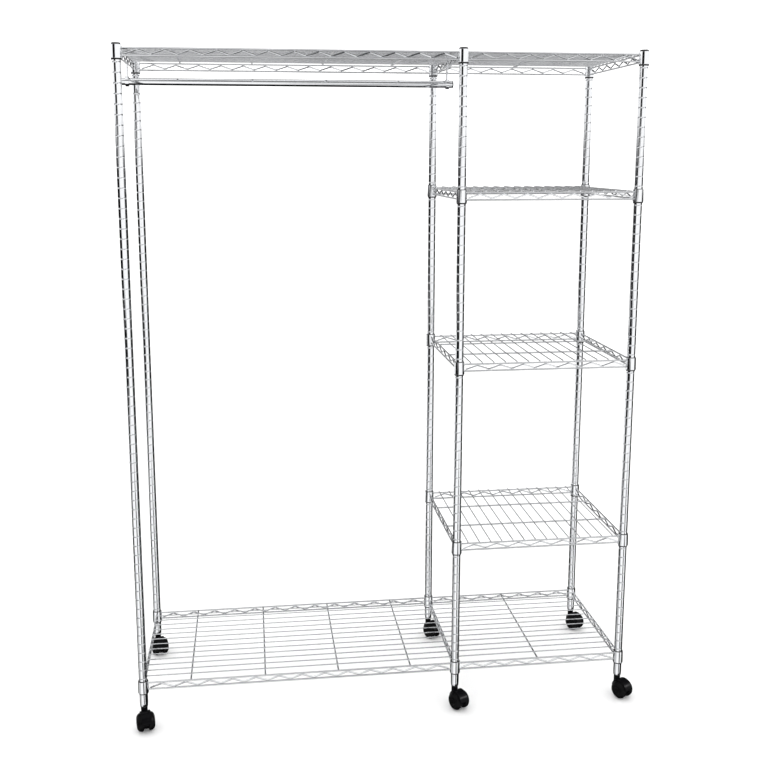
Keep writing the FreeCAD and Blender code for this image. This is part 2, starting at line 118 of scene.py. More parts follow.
class Shelf(Enum):
    """The five shelves, from the floor up."""

    BOTTOM = "bottom"
    LOWER = "lower"
    MIDDLE = "middle"
    UPPER = "upper"
    TOP = "top"

    @property
    def full_width(self) -> bool:
        """Whether the shelf joins all six posts."""
        return self in (Shelf.BOTTOM, Shelf.TOP)

    @property
    def columns(self) -> list[Column]:
        """The columns that carry the shelf."""
        return list(Column) if self.full_width else [Column.MIDDLE, Column.RIGHT]


class Ends(Enum):
    """How the ends of a turned form are finished."""

    OPEN = "open"
    CLOSED = "closed"
    LOOPED = "looped"


class Join(Enum):
    """How a tool shape changes a piece."""

    ADD = "UNION"
    CUT = "DIFFERENCE"


# Bench work with Blender's own modelling tools


def take(*pieces: Object) -> None:
    """Select these pieces alone and make the first one active.

    Args:
        pieces: What is selected.
    """
    bpy.ops.object.select_all(action="DESELECT")
    for piece in pieces:
        piece.select_set(True)
    bpy.context.view_layer.objects.active = pieces[0]


@contextmanager
def editing(piece: Object) -> Iterator[None]:
    """Hold a piece in edit mode, with all of it selected.

    Args:
        piece: The piece to edit.
    """
    take(piece)
    bpy.ops.object.mode_set(mode="EDIT")
    bpy.ops.mesh.select_all(action="SELECT")
    yield
    bpy.ops.object.mode_set(mode="OBJECT")


def settle(piece: Object) -> None:
    """Put a piece's place, turn and scale into its mesh."""
    take(piece)
    bpy.ops.object.transform_apply(location=True, rotation=True, scale=True)


def started(name: str) -> Object:
    """Name the primitive that was just added and settle it.

    Args:
        name: The name of the piece that it starts.

    Returns:
        The primitive.
    """
    piece = bpy.context.object
    piece.name = name
    settle(piece)
    return piece


def modified(piece: Object, kind: str, **settings: Any) -> Object:
    """Add a modifier to a piece and apply it.

    Args:
        piece: The piece to change.
        kind: The modifier's type.
        settings: The modifier's own settings.

    Returns:
        The same piece.
    """
    take(piece)
    change = piece.modifiers.new(kind.lower(), kind)
    for key, value in settings.items():
        setattr(change, key, value)
    bpy.ops.object.modifier_apply(modifier=change.name)
    return piece


def smooth(piece: Object, degrees: float = SHARP_EDGE) -> Object:
    """Shade a piece smooth, apart from its sharp edges, and let its large faces lead.

    Args:
        piece: The piece to shade.
        degrees: Edges that turn by more than this stay sharp.

    Returns:
        The same piece.
    """
    take(piece)
    bpy.ops.object.shade_smooth_by_angle(angle=math.radians(degrees))
    return modified(piece, "WEIGHTED_NORMAL", keep_sharp=True)


def turned(name: str, rings: Sequence[Ring], sides: int, ends: Ends = Ends.CLOSED) -> Object:
    """Turn a profile about Z: a circle is extruded and resized ring by ring.

    Args:
        name: The name of the piece.
        rings: Radius and height of each ring, in order along the profile.
        sides: How many flats go round.
        ends: Whether the end rings stay open, are closed by a face, or are joined to each other.

    Returns:
        The turned piece, about the Z axis.
    """
    profile = list(rings)
    if ends is Ends.LOOPED:
        profile.append(profile[0])
    bpy.ops.object.select_all(action="DESELECT")
    radius, height = profile[0]
    bpy.ops.mesh.primitive_circle_add(
        vertices=sides, radius=radius, location=(0, 0, height), fill_type="NOTHING"
    )
    piece = started(name)
    with editing(piece):
        for next_radius, next_height in profile[1:]:
            bpy.ops.mesh.extrude_region_move(
                TRANSFORM_OT_translate={"value": (0, 0, next_height - height)}
            )
            ratio = next_radius / radius
            bpy.ops.transform.resize(value=(ratio, ratio, 1), center_override=(0, 0, next_height))
            radius, height = next_radius, next_height
        bpy.ops.mesh.select_all(action="SELECT")
        if ends is Ends.LOOPED:
            bpy.ops.mesh.remove_doubles(threshold=WELD)
        if ends is Ends.CLOSED:
            bpy.ops.mesh.fill_holes(sides=0)
        bpy.ops.mesh.normals_make_consistent(inside=False)
    return piece


def laid(piece: Object, *turns: tuple[str, float]) -> Object:
    """Turn a piece about the origin.

    Args:
        piece: The piece to turn.
        turns: Axis letter and degrees of each turn, in order.

    Returns:
        The same piece.
    """
    for axis, degrees in turns:
        piece.matrix_world = Matrix.Rotation(math.radians(degrees), 4, axis) @ piece.matrix_world
    settle(piece)
    return piece


def moved(piece: Object, place: Sequence[float]) -> Object:
    """Move a piece, with its place kept in its mesh.

    Args:
        piece: The piece to move.
        place: How far it goes along each axis.

    Returns:
        The same piece.
    """
    piece.location = place
    settle(piece)
    return piece


def repeated(piece: Object, count: int, step: Sequence[float]) -> Object:
    """Repeat a piece in a row.

    Args:
        piece: The first of the row.
        count: How many there are in the row.
        step: The way from each one to the next.

    Returns:
        The piece, now the whole row.
    """
    return modified(
        piece,
        "ARRAY",
        count=count,
        use_relative_offset=False,
        use_constant_offset=True,
        constant_offset_displace=step,
        use_merge_vertices=True,
        merge_threshold=WELD,
    )


def copied(piece: Object, places: Sequence[Matrix]) -> list[Object]:
    """Copy a master piece to its places and remove the master.

    Args:
        piece: The master, modelled once at the origin.
        places: Where each copy goes.

    Returns:
        The copies, each with its own mesh.
    """
    copies = []
    for place in places:
        take(piece)
        bpy.ops.object.duplicate(linked=False)
        twin = bpy.context.object
        twin.matrix_world = place
        settle(twin)
        copies.append(twin)
    bpy.data.objects.remove(piece)
    return copies


def joined(name: str, pieces: Sequence[Object], weld: bool = False) -> Object:
    """Join pieces in one mesh.

    Args:
        name: The name of the joined piece.
        pieces: What is joined.
        weld: Whether points that meet become one, as between lengths of one tube.

    Returns:
        The joined piece.
    """
    take(*pieces)
    if len(pieces) > 1:
        bpy.ops.object.join()
    piece = bpy.context.object
    piece.name = name
    if weld:
        with editing(piece):
            bpy.ops.mesh.remove_doubles(threshold=WELD)
            bpy.ops.mesh.normals_make_consistent(inside=False)
    return piece


def shaped(piece: Object, tool: Object, join: Join) -> Object:
    """Add a tool shape to a piece or cut it away.

    Args:
        piece: The piece that is changed.
        tool: The shape that is used up.
        join: Whether it is added or cut away.

    Returns:
        The changed piece.
    """
    modified(piece, "BOOLEAN", operation=join.value, object=tool, solver="EXACT")
    bpy.data.objects.remove(tool)
    return piece


def rounded(piece: Object, width: float, segments: int = 2) -> Object:
    """Round all sharp edges of a piece.

    Args:
        piece: The piece to round.
        width: The width of the rounding.
        segments: How many steps it has.

    Returns:
        The same piece.
    """
    return modified(
        piece,
        "BEVEL",
        width=width,
        segments=segments,
        limit_method="ANGLE",
        angle_limit=math.radians(SHARP_EDGE),
        use_clamp_overlap=True,
    )


def bar(name: str, radius: float, length: float, sides: int, nip: float) -> Object:
    """Make a straight wire along X whose cut ends are rounded.

    Args:
        name: The name of the wire.
        radius: Its radius.
        length: Its length, half to each side of the origin.
        sides: How many flats go round.
        nip: The width of the rounding at its ends.

    Returns:
        The wire.
    """
    bpy.ops.object.select_all(action="DESELECT")
    bpy.ops.mesh.primitive_cylinder_add(
        vertices=sides, radius=radius, depth=length, rotation=(0, math.pi / 2, 0)
    )
    piece = started(name)
    with editing(piece):
        bpy.ops.mesh.select_mode(type="FACE")
        bpy.ops.mesh.select_all(action="DESELECT")
        mesh = bmesh.from_edit_mesh(piece.data)
        for face in mesh.faces:
            face.select_set(abs(face.normal.x) > END_FACING)
        bmesh.update_edit_mesh(piece.data)
        bpy.ops.mesh.region_to_loop()
        bpy.ops.mesh.bevel(offset=nip, segments=NIP_STEPS, affect="EDGES")
        bpy.ops.mesh.select_mode(type="VERT")
    return piece


def bent_wire(
    name: str, corners: Sequence[Vector], radius: float, nip: float, resolution: int
) -> Object:
    """Bend a round wire: a point is extruded from bend to bend, and the bends are rounded.

    Args:
        name: The name of the wire.
        corners: The points where its straight runs would meet.
        radius: The radius of the wire.
        nip: How far before each corner the bend begins.
        resolution: How finely the wire is rounded.

    Returns:
        The wire.
    """
    bpy.ops.object.select_all(action="DESELECT")
    bpy.ops.mesh.primitive_plane_add(size=radius, location=corners[0])
    piece = started(name)
    with editing(piece):
        bpy.ops.mesh.merge(type="CENTER")
        for here, there in zip(corners, corners[1:]):
            bpy.ops.mesh.extrude_region_move(TRANSFORM_OT_translate={"value": there - here})
        bpy.ops.mesh.select_all(action="DESELECT")
        mesh = bmesh.from_edit_mesh(piece.data)
        for point in mesh.verts:
            point.select_set(len(point.link_edges) == 2)
        bmesh.update_edit_mesh(piece.data)
        bpy.ops.mesh.bevel(offset=nip, segments=BEND_STEPS, affect="VERTICES")
    bpy.ops.object.convert(target="CURVE")
    curve = bpy.context.object.data
    curve.bevel_depth = radius
    curve.bevel_resolution = resolution
    curve.use_fill_caps = True
    bpy.ops.object.convert(target="MESH")
    piece = bpy.context.object
    with editing(piece):
        bpy.ops.mesh.normals_make_consistent(inside=False)
    return piece


def block(name: str, size: Sequence[float], place: Sequence[float]) -> Object:
    """Make a plain block to shape further.

    Args:
        name: The name of the block.
        size: Its size along each axis.
        place: Its middle.

    Returns:
        The block.
    """
    bpy.ops.object.select_all(action="DESELECT")
    bpy.ops.mesh.primitive_cube_add(size=1, location=place)
    piece = bpy.context.object
    piece.name = name
    piece.scale = size
    settle(piece)
    return piece


def drum(name: str, radius: float, low: float, high: float, sides: int) -> Object:
    """Make a plain drum about Z to shape a piece with.

    Args:
        name: The name of the drum.
        radius: Its radius.
        low: The height of its lower end.
        high: The height of its upper end.
        sides: How many flats go round.

    Returns:
        The drum.
    """
    return turned(name, [(radius, low), (radius, high)], sides)


def push_in_plug(radius: float, length: float) -> list[Ring]:
    """Give the rings of a cap's plug, which narrows at its tip.

    Args:
        radius: Its radius.
        length: How far it goes into its tube.

    Returns:
        The rings, from the tip to the tube's end at height 0.
    """
    return [(radius * PLUG_TIP_SHARE, -length), (radius, -length * PLUG_LEAD_SHARE), (radius, 0.0)]


def corner_arc(radius: float, height: float, size: float, start: float, steps: int = 4) -> list[Ring]:
    """Give the rings of a rounded corner of a turned profile.

    Args:
        radius: Radius of the middle of the corner's arc.
        height: Height of the middle of the arc.
        size: Radius of the arc.
        start: Direction of its first point in degrees, 0 outwards and 90 up; it turns on by a quarter.
        steps: How many steps the quarter has.

    Returns:
        The rings along the arc.
    """
    turns = [math.radians(start + 90 * step / steps) for step in range(steps + 1)]
    return [(radius + size * math.cos(turn), height + size * math.sin(turn)) for turn in turns]


# Finishes


class Signal:
    """A shader output that takes part in Python sums."""

    def __init__(self, bench: "FinishBench", socket: bpy.types.NodeSocket) -> None:
        """Wrap a socket that belongs to a bench."""
        self.bench = bench
        self.socket = socket

    def _sum(self, operation: str, *terms: "Signal | float") -> "Signal":
        """Add a Math node for one operation on values."""
        return self.bench.node("ShaderNodeMath", {"operation": operation}, dict(enumerate(terms)))

    def __add__(self, other: "Signal | float") -> "Signal":
        """Add a value."""
        return self._sum("ADD", self, other)

    __radd__ = __add__

    def __sub__(self, other: "Signal | float") -> "Signal":
        """Take a value away."""
        return self._sum("SUBTRACT", self, other)

    def __rsub__(self, other: "Signal | float") -> "Signal":
        """Take this value away from another."""
        return self._sum("SUBTRACT", other, self)

    def __mul__(self, other: "Signal | float") -> "Signal":
        """Multiply by a value."""
        return self._sum("MULTIPLY", self, other)

    __rmul__ = __mul__

    def __truediv__(self, other: "Signal | float") -> "Signal":
        """Divide by a value."""
        return self._sum("DIVIDE", self, other)

    def __pow__(self, other: "Signal | float") -> "Signal":
        """Raise to a power."""
        return self._sum("POWER", self, other)

    def __abs__(self) -> "Signal":
        """Drop the sign."""
        return self._sum("ABSOLUTE", self)

    def fraction(self) -> "Signal":
        """Keep what is left over the last whole number."""
        return self._sum("FRACT", self)

    def at_least(self, floor: float) -> "Signal":
        """Keep the value from falling under a floor."""
        return self._sum("MAXIMUM", self, floor)


class FinishBench:
    """A node tree that is being filled."""

    def __init__(self, tree: bpy.types.NodeTree) -> None:
        """Start with an empty tree."""
        self.tree = tree
        tree.nodes.clear()

    def node(
        self,
        kind: str,
        settings: Mapping[str, Any],
        inputs: Mapping[str | int, Any],
        output: str | int = 0,
    ) -> Signal:
        """Add a node.

        Args:
            kind: The node's type.
            settings: Its own settings, such as a Math node's operation.
            inputs: The value or the signal of each socket.
            output: Which of its outputs is wanted.

        Returns:
            That output.
        """
        made = self.tree.nodes.new(kind)
        for key, value in settings.items():
            setattr(made, key, value)
        for key, value in inputs.items():
            if isinstance(value, Signal):
                self.tree.links.new(value.socket, made.inputs[key])
            else:
                made.inputs[key].default_value = value
        return Signal(self, made.outputs[output]) if made.outputs else Signal(self, made.inputs[0])

    def coordinates(self, output: str = "Object") -> Signal:
        """Read where a point is."""
        return self.node("ShaderNodeTexCoord", {}, {}, output)

    def noise(self, place: Signal, scale: float = 1.0, detail: float = 2.0) -> Signal:
        """Spread soft random values over a surface."""
        return self.node("ShaderNodeTexNoise", {}, {"Vector": place, "Scale": scale, "Detail": detail})

    def stretched(self, place: Signal, scale: Sequence[float]) -> Signal:
        """Scale the coordinates by axis."""
        return self.node("ShaderNodeMapping", {}, {"Vector": place, "Scale": scale})

    def axis(self, place: Signal, letter: str) -> Signal:
        """Read one axis of a place."""
        return self.node("ShaderNodeSeparateXYZ", {}, {"Vector": place}, letter)

    def blend(self, share: Signal, first: Colour | Signal, second: Colour | Signal) -> Signal:
        """Go from one colour to another by a share."""
        return self.node("ShaderNodeMix", {"data_type": "RGBA"}, {0: share, 6: first, 7: second}, 2)

    def bump(self, height: Signal, distance: float, strength: float) -> Signal:
        """Turn a height into a bump."""
        inputs = {"Height": height, "Distance": distance, "Strength": strength}
        return self.node("ShaderNodeBump", {}, inputs)

    def surface(self, **inputs: Any) -> None:
        """Make the surface shader and show it.

        Args:
            inputs: Its sockets, with _ for the spaces in their names.
        """
        named = {key.replace("_", " "): value for key, value in inputs.items()}
        shader = self.node("ShaderNodeBsdfPrincipled", {}, named)
        self.node("ShaderNodeOutputMaterial", {}, {"Surface": shader})


def new_material(name: str) -> tuple[Material, FinishBench]:
    """Start a material.

    Args:
        name: Its name.

    Returns:
        The material and the bench to fill it on.
    """
    material = bpy.data.materials.new(name)
    material.use_nodes = True
    return material, FinishBench(material.node_tree)


@dataclass(frozen=True)
class ChromePlate:
    """Bright plating: a mirror with faint clouds, drawing lines and fine pits."""

    name: str
    clear: Colour = (0.80, 0.81, 0.82, 1.0)
    clouded: Colour = (0.70, 0.71, 0.73, 1.0)
    polish: float = 0.05
    clouding: float = 0.07
    cloud_scale: float = 38.0
    cloud_detail: float = 4.0
    cloud_contrast: float = 2.0
    line_stretch: tuple[float, float, float] = (500.0, 500.0, 500.0)
    line_detail: float = 1.0
    line_dulling: float = 0.02
    line_depth: float = 0.02 * MM
    line_strength: float = 0.10

    def wear(self, bench: FinishBench, place: Signal) -> Signal:
        """Say where the plating is dulled, from 0 to 1."""
        return bench.noise(place, self.cloud_scale, self.cloud_detail) ** self.cloud_contrast

    def material(self) -> Material:
        """Make the finish.

        Returns:
            The material.
        """
        material, bench = new_material(self.name)
        place = bench.coordinates()
        wear = self.wear(bench, place)
        lines = bench.noise(bench.stretched(place, self.line_stretch), detail=self.line_detail)
        bench.surface(
            Base_Color=bench.blend(wear, self.clear, self.clouded),
            Metallic=1.0,
            Roughness=self.polish + wear * self.clouding + lines * self.line_dulling,
            Normal=bench.bump(lines, self.line_depth, self.line_strength),
        )
        return material


@dataclass(frozen=True)
class GroovedChrome(ChromePlate):
    """Plating on grooved tube, made darker and duller in its rings."""

    first_ring: float = 117.5 * MM
    ring_spacing: float = RING_SPACING
    ring_reach: float = 1.5 * MM
    # How much darker and duller the plating is made in the rings
    ring_darkening: float = 0.85

    def wear(self, bench: FinishBench, place: Signal) -> Signal:
        """Say where the plating is dulled, with the rings made darker and duller.

        Args:
            bench: The bench that the finish is made on.
            place: Where the point is.

        Returns:
            The clouds and the darker rings together, from 0 to 1.
        """
        clouds = super().wear(bench, place)
        height = bench.axis(place, "Z")
        beside = abs(((height - self.first_ring) / self.ring_spacing + 0.5).fraction() - 0.5)
        # The plating is made darker and rougher along each groove
        ring = (1.0 - beside * (self.ring_spacing / self.ring_reach)).at_least(0.0)
        return clouds + ring * self.ring_darkening


@dataclass(frozen=True)
class MouldedPlastic:
    """Black moulded plastic with a fine skin, flow marks and a few scuffs."""

    name: str
    base: Colour
    scuffed: Colour
    gloss: float
    scuffing: float
    skin_scale: float
    skin_strength: float
    shine: float
    skin_depth: float = 0.03 * MM
    flow_scale: float = 45.0
    flow_detail: float = 3.0
    flow_tint: float = 0.2
    flow_dulling: float = 0.06
    scuff_stretch: tuple[float, float, float] = (260.0, 260.0, 700.0)
    scuff_detail: float = 4.0
    scuff_contrast: float = 3.0

    def material(self) -> Material:
        """Make the finish.

        Returns:
            The material.
        """
        material, bench = new_material(self.name)
        place = bench.coordinates()
        flow = bench.noise(place, self.flow_scale, self.flow_detail)
        scuff = bench.noise(bench.stretched(place, self.scuff_stretch), detail=self.scuff_detail)
        scuff = scuff**self.scuff_contrast
        skin = bench.noise(place, self.skin_scale)
        bench.surface(
            Base_Color=bench.blend(scuff + flow * self.flow_tint, self.base, self.scuffed),
            Roughness=self.gloss + scuff * self.scuffing + flow * self.flow_dulling,
            Specular_IOR_Level=self.shine,
            Normal=bench.bump(skin, self.skin_depth, self.skin_strength),
        )
        return material


@dataclass(frozen=True)
class BrightSteel:
    """Turned steel with fine rings and a grey film."""

    name: str
    bright: Colour = (0.58, 0.59, 0.60, 1.0)
    film: Colour = (0.36, 0.36, 0.37, 1.0)
    roughness: float = 0.24
    film_scale: float = 120.0
    film_detail: float = 4.0
    film_dulling: float = 0.15
    ring_stretch: tuple[float, float, float] = (200.0, 200.0, 4000.0)
    ring_detail: float = 1.0
    ring_depth: float = 0.02 * MM
    ring_strength: float = 0.2

    def material(self) -> Material:
        """Make the finish.

        Returns:
            The material.
        """
        material, bench = new_material(self.name)
        place = bench.coordinates()
        film = bench.noise(place, self.film_scale, self.film_detail)
        rings = bench.noise(bench.stretched(place, self.ring_stretch), detail=self.ring_detail)
        bench.surface(
            Base_Color=bench.blend(film, self.bright, self.film),
            Metallic=1.0,
            Roughness=self.roughness + film * self.film_dulling,
            Normal=bench.bump(rings, self.ring_depth, self.ring_strength),
        )
        return material


FINISHES = {
    "chrome_posts": GroovedChrome("chrome_on_posts", line_stretch=(900.0, 900.0, 12.0)),
    "chrome_wire": ChromePlate("chrome_on_wire", cloud_scale=55.0),
    "chrome_rod": ChromePlate("chrome_on_rod", line_stretch=(12.0, 900.0, 900.0)),
    "black_fittings": MouldedPlastic(
        name="satin_black_fittings",
        base=(0.006, 0.006, 0.0065, 1.0),
        scuffed=(0.022, 0.022, 0.023, 1.0),
        gloss=0.34,
        scuffing=0.25,
        skin_scale=1400.0,
        skin_strength=0.25,
        shine=0.3,
    ),
    "caster_hood": MouldedPlastic(
        name="glossy_black_hood",
        base=(0.0015, 0.0015, 0.0018, 1.0),
        scuffed=(0.006, 0.006, 0.007, 1.0),
        gloss=0.16,
        scuffing=0.22,
        skin_scale=900.0,
        skin_strength=0.12,
        shine=0.05,
    ),
    "caster_wheel": MouldedPlastic(
        name="glossy_black_wheel",
        base=(0.0018, 0.0018, 0.0021, 1.0),
        scuffed=(0.008, 0.008, 0.008, 1.0),
        gloss=0.20,
        scuffing=0.35,
        skin_scale=700.0,
        skin_strength=0.18,
        shine=0.05,
    ),
    "plain_steel": BrightSteel("bright_steel_pins"),
}


# The rack


@dataclass(frozen=True)
class Grid:
    """Where the posts stand and the shelves sit, read from the frame."""

    column_x: dict[Column, float]
    row_y: dict[Row, float]
    shelf_z: dict[Shelf, float]
    foot_z: float
    post_radius: float
    post_length: float
    collar_radius: float
    collar_height: float

    @classmethod
    def from_frame(cls) -> "Grid":
        """Read the places from the CAD nodes.

        Returns:
            The grid.
        """
        column_x = {}
        row_y = {}
        for row in Row:
            for column in Column:
                low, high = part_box(f"{row.value}_{column.value}_post")
                column_x[column] = (low.x + high.x) / 2
                row_y[row] = (low.y + high.y) / 2
        collar_low, collar_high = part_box("bottom_shelf_collars")
        return cls(
            column_x=column_x,
            row_y=row_y,
            shelf_z={shelf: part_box(f"{shelf.value}_shelf_collars")[0].z for shelf in Shelf},
            foot_z=low.z,
            post_radius=(high.x - low.x) / 2,
            post_length=high.z - low.z,
            collar_radius=column_x[Column.LEFT] - collar_low.x,
            collar_height=collar_high.z - collar_low.z,
        )

    def post_places(self, columns: Sequence[Column], height: float) -> list[Matrix]:
        """Give a place at each post of some columns.

        Args:
            columns: The columns that count.
            height: The height of the places.

        Returns:
            The places, the front row first.
        """
        return [
            Matrix.Translation((self.column_x[column], self.row_y[row], height))
            for row in Row
            for column in columns
        ]


@dataclass
class SubAssembly:
    """A part of the rack that builds its own pieces and dresses them."""

    grid: Grid
    materials: Mapping[str, Material]

    def dress(self, piece: Object, node: str, sharp: float = SHARP_EDGE) -> None:
        """Finish a piece and let it stand for its CAD node.

        Args:
            piece: The modelled piece.
            node: The CAD node that it replaces.
            sharp: Edges that turn by more than this many degrees stay sharp.
        """
        record = frame["record"]
        slot = next(row["material_slot"] for row in record["subparts"] if row["node"] == node)
        body = next(name for name, nodes in record["behaviour"]["bodies"].items() if node in nodes)
        piece.name = f"{node}_finished"
        piece.data.name = piece.name
        piece.data.materials.clear()
        piece.data.materials.append(self.materials[slot])
        smooth(piece, sharp)
        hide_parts(node)
        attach(piece, body)
        LOG.info("%s: %d faces, rides on %s", piece.name, len(piece.data.polygons), body)

    def build(self) -> None:
        """Build and dress every piece."""
        raise NotImplementedError


@dataclass
class Posts(SubAssembly):
    """Six tubes with ring grooves, their push-in caps and their foot plugs."""

    sides: int = 40
    wall: float = 1.2 * MM
    ring_spacing: float = RING_SPACING
    ring_depth: float = 0.5 * MM
    ring_half_width: float = 1.3 * MM
    groove_shares: tuple[float, ...] = (-1.6, -1.0, -0.6, -0.25, 0.25, 0.6, 1.0, 1.6)
    first_ring: float = 55.0 * MM
    foot_taper_depth: float = 0.6 * MM
    foot_taper_length: float = 8.0 * MM
    foot_swell_shares: tuple[float, float] = (0.25, 0.7)
    rim: float = 0.3 * MM
    cap_height: float = 4.0 * MM
    cap_edge: float = 1.2 * MM
    cap_crown: float = 0.35 * MM
    crown_shares: tuple[tuple[float, float], ...] = ((0.72, 0.45), (0.45, 0.15), (0.15, 0.0))
    cap_plug_length: float = 14.0 * MM
    plug_gap: float = 0.1 * MM
    foot_plug_length: float = FOOT_PLUG_LENGTH
    flange_radius: float = 10.5 * MM
    flange_height: float = FLANGE_HEIGHT
    flange_edge: float = 0.5 * MM
    stem_hole_radius: float = 5.05 * MM

    def ringed_length(self) -> Object:
        """Model one groove with half a spacing of tube to each side.

        Returns:
            The open length of tube.
        """
        radius = self.grid.post_radius
        middle = self.ring_spacing / 2
        rings = [(radius, 0.0)]
        for share in self.groove_shares:
            depth = self.ring_depth * (1 + math.cos(math.pi * min(abs(share), 1.0))) / 2
            rings.append((radius - depth, middle + share * self.ring_half_width))
        rings.append((radius, self.ring_spacing))
        return turned("ringed_length", rings, self.sides, Ends.OPEN)

    def tube(self) -> Object:
        """Model a whole post with its foot at the origin.

        Returns:
            The tube with its walls.
        """
        radius = self.grid.post_radius
        length = self.grid.post_length
        bore = radius - self.wall
        count = int((length - self.first_ring) / self.ring_spacing) + 1
        start = self.first_ring - self.ring_spacing / 2
        swell_depth, swell_height = self.foot_swell_shares
        rings = moved(repeated(self.ringed_length(), count, (0, 0, self.ring_spacing)), (0, 0, start))
        foot = turned(
            "foot",
            [
                (bore, 0.0),
                (radius - self.foot_taper_depth - self.rim, 0.0),
                (radius - self.foot_taper_depth, self.rim),
                (radius - self.foot_taper_depth * swell_depth, self.foot_taper_length * swell_height),
                (radius, self.foot_taper_length),
                (radius, start),
            ],
            self.sides,
            Ends.OPEN,
        )
        head = turned(
            "head",
            [
                (radius, start + count * self.ring_spacing),
                (radius, length - self.rim),
                (radius - self.rim, length),
                (bore, length),
            ],
            self.sides,
            Ends.OPEN,
        )
        inside = turned("inside", [(bore, 0.0), (bore, length)], self.sides, Ends.OPEN)
        return joined("post", [rings, foot, head, inside], weld=True)

    def cap(self) -> Object:
        """Model a push-in cap on a post whose top is at the origin.

        Returns:
            The cap.
        """
        radius = self.grid.post_radius
        shoulder = self.cap_height - self.cap_crown - self.cap_edge
        rings = push_in_plug(radius - self.wall - self.plug_gap, self.cap_plug_length)
        rings += [(radius - self.rim, 0.0), (radius, self.rim)]
        rings += corner_arc(radius - self.cap_edge, shoulder, self.cap_edge, 0.0)
        for across, below in self.crown_shares:
            rings.append((radius * across, self.cap_height - self.cap_crown * below))
        return turned("cap", rings, self.sides)

    def foot_plug(self) -> Object:
        """Model a plug pressed in a post whose foot is at the origin.

        Returns:
            The plug.
        """
        plug = self.grid.post_radius - self.wall - self.plug_gap
        hole = self.stem_hole_radius
        edge = self.flange_edge
        rings = [
            (hole, self.foot_plug_length),
            (plug - edge, self.foot_plug_length),
            (plug, self.foot_plug_length - edge),
            (plug, 0.0),
            (self.flange_radius, 0.0),
            (self.flange_radius, edge - self.flange_height),
            (self.flange_radius - edge, -self.flange_height),
            (hole, -self.flange_height),
        ]
        return turned("foot_plug", rings, self.sides, Ends.LOOPED)

    def build(self) -> None:
        """Build and dress the posts, caps and plugs."""
        foot = self.grid.foot_z
        names = [f"{row.value}_{column.value}_post" for row in Row for column in Column]
        tubes = copied(self.tube(), self.grid.post_places(list(Column), foot))
        for name, tube in zip(names, tubes):
            self.dress(tube, name)
        caps = copied(self.cap(), self.grid.post_places(list(Column), foot + self.grid.post_length))
        self.dress(joined("caps", caps), "post_top_caps")
        plugs = copied(self.foot_plug(), self.grid.post_places(list(Column), foot))
        self.dress(joined("plugs", plugs), "post_foot_plugs")


@dataclass
class ShelfSeats(SubAssembly):
    """The tapered collars of the shelves and the split sleeves that they sit on."""

    sides: int = 40
    taper: float = 0.75 * MM
    collar_wall: float = 1.1 * MM
    collar_rim: float = 0.4 * MM
    rim_share: float = 0.3
    fit: float = 0.1 * MM
    sleeve_lip: float = 1.5 * MM
    sleeve_foot: float = 3.5 * MM
    sleeve_edge: float = 0.35 * MM
    split: float = 0.45 * MM

    def collar(self) -> Object:
        """Model a collar with its lower end at the origin.

        Returns:
            The collar.
        """
        low = self.grid.collar_radius
        high = low - self.taper
        top = self.grid.collar_height
        rim = self.collar_rim
        wall = self.collar_wall
        soft = rim * self.rim_share
        rings = [
            (low - wall + rim / 2, 0.0),
            (low - rim, 0.0),
            (low - soft, soft),
            (low, rim),
            (high, top - rim),
            (high - soft, top - soft),
            (high - rim, top),
            (high - wall + rim / 2, top),
            (high - wall, top - rim / 2),
            (low - wall, rim / 2),
        ]
        return turned("collar", rings, self.sides, Ends.LOOPED)

    def sleeve(self) -> Object:
        """Model both halves of a split sleeve, with its collar's lower end at the origin.

        Returns:
            Both halves.
        """
        low = self.grid.collar_radius - self.collar_wall - self.fit
        high = low - self.taper
        inside = self.grid.post_radius + self.fit
        top = self.grid.collar_height + self.sleeve_lip
        edge = self.sleeve_edge
        rings = [
            (inside, -self.sleeve_foot),
            (low - edge, -self.sleeve_foot),
            (low, edge - self.sleeve_foot),
            (high, top - edge),
            (high - edge, top),
            (inside, top),
        ]
        half = turned("sleeve_half", rings, self.sides, Ends.LOOPED)
        with editing(half):
            bpy.ops.mesh.bisect(
                plane_co=(0, self.split, 0), plane_no=(0, 1, 0), use_fill=True, clear_inner=True
            )
            bpy.ops.mesh.select_all(action="SELECT")
            bpy.ops.mesh.normals_make_consistent(inside=False)
        halves = copied(half, [Matrix.Identity(4), Matrix.Rotation(math.pi, 4, "Z")])
        return joined("sleeve", halves)

    def build(self) -> None:
        """Build and dress the collars and sleeves of each shelf."""
        for shelf in Shelf:
            places = self.grid.post_places(shelf.columns, self.grid.shelf_z[shelf])
            collars = joined("collars", copied(self.collar(), places))
            self.dress(collars, f"{shelf.value}_shelf_collars")
            sleeves = joined("sleeves", copied(self.sleeve(), places))
            self.dress(sleeves, f"{shelf.value}_shelf_sleeves")


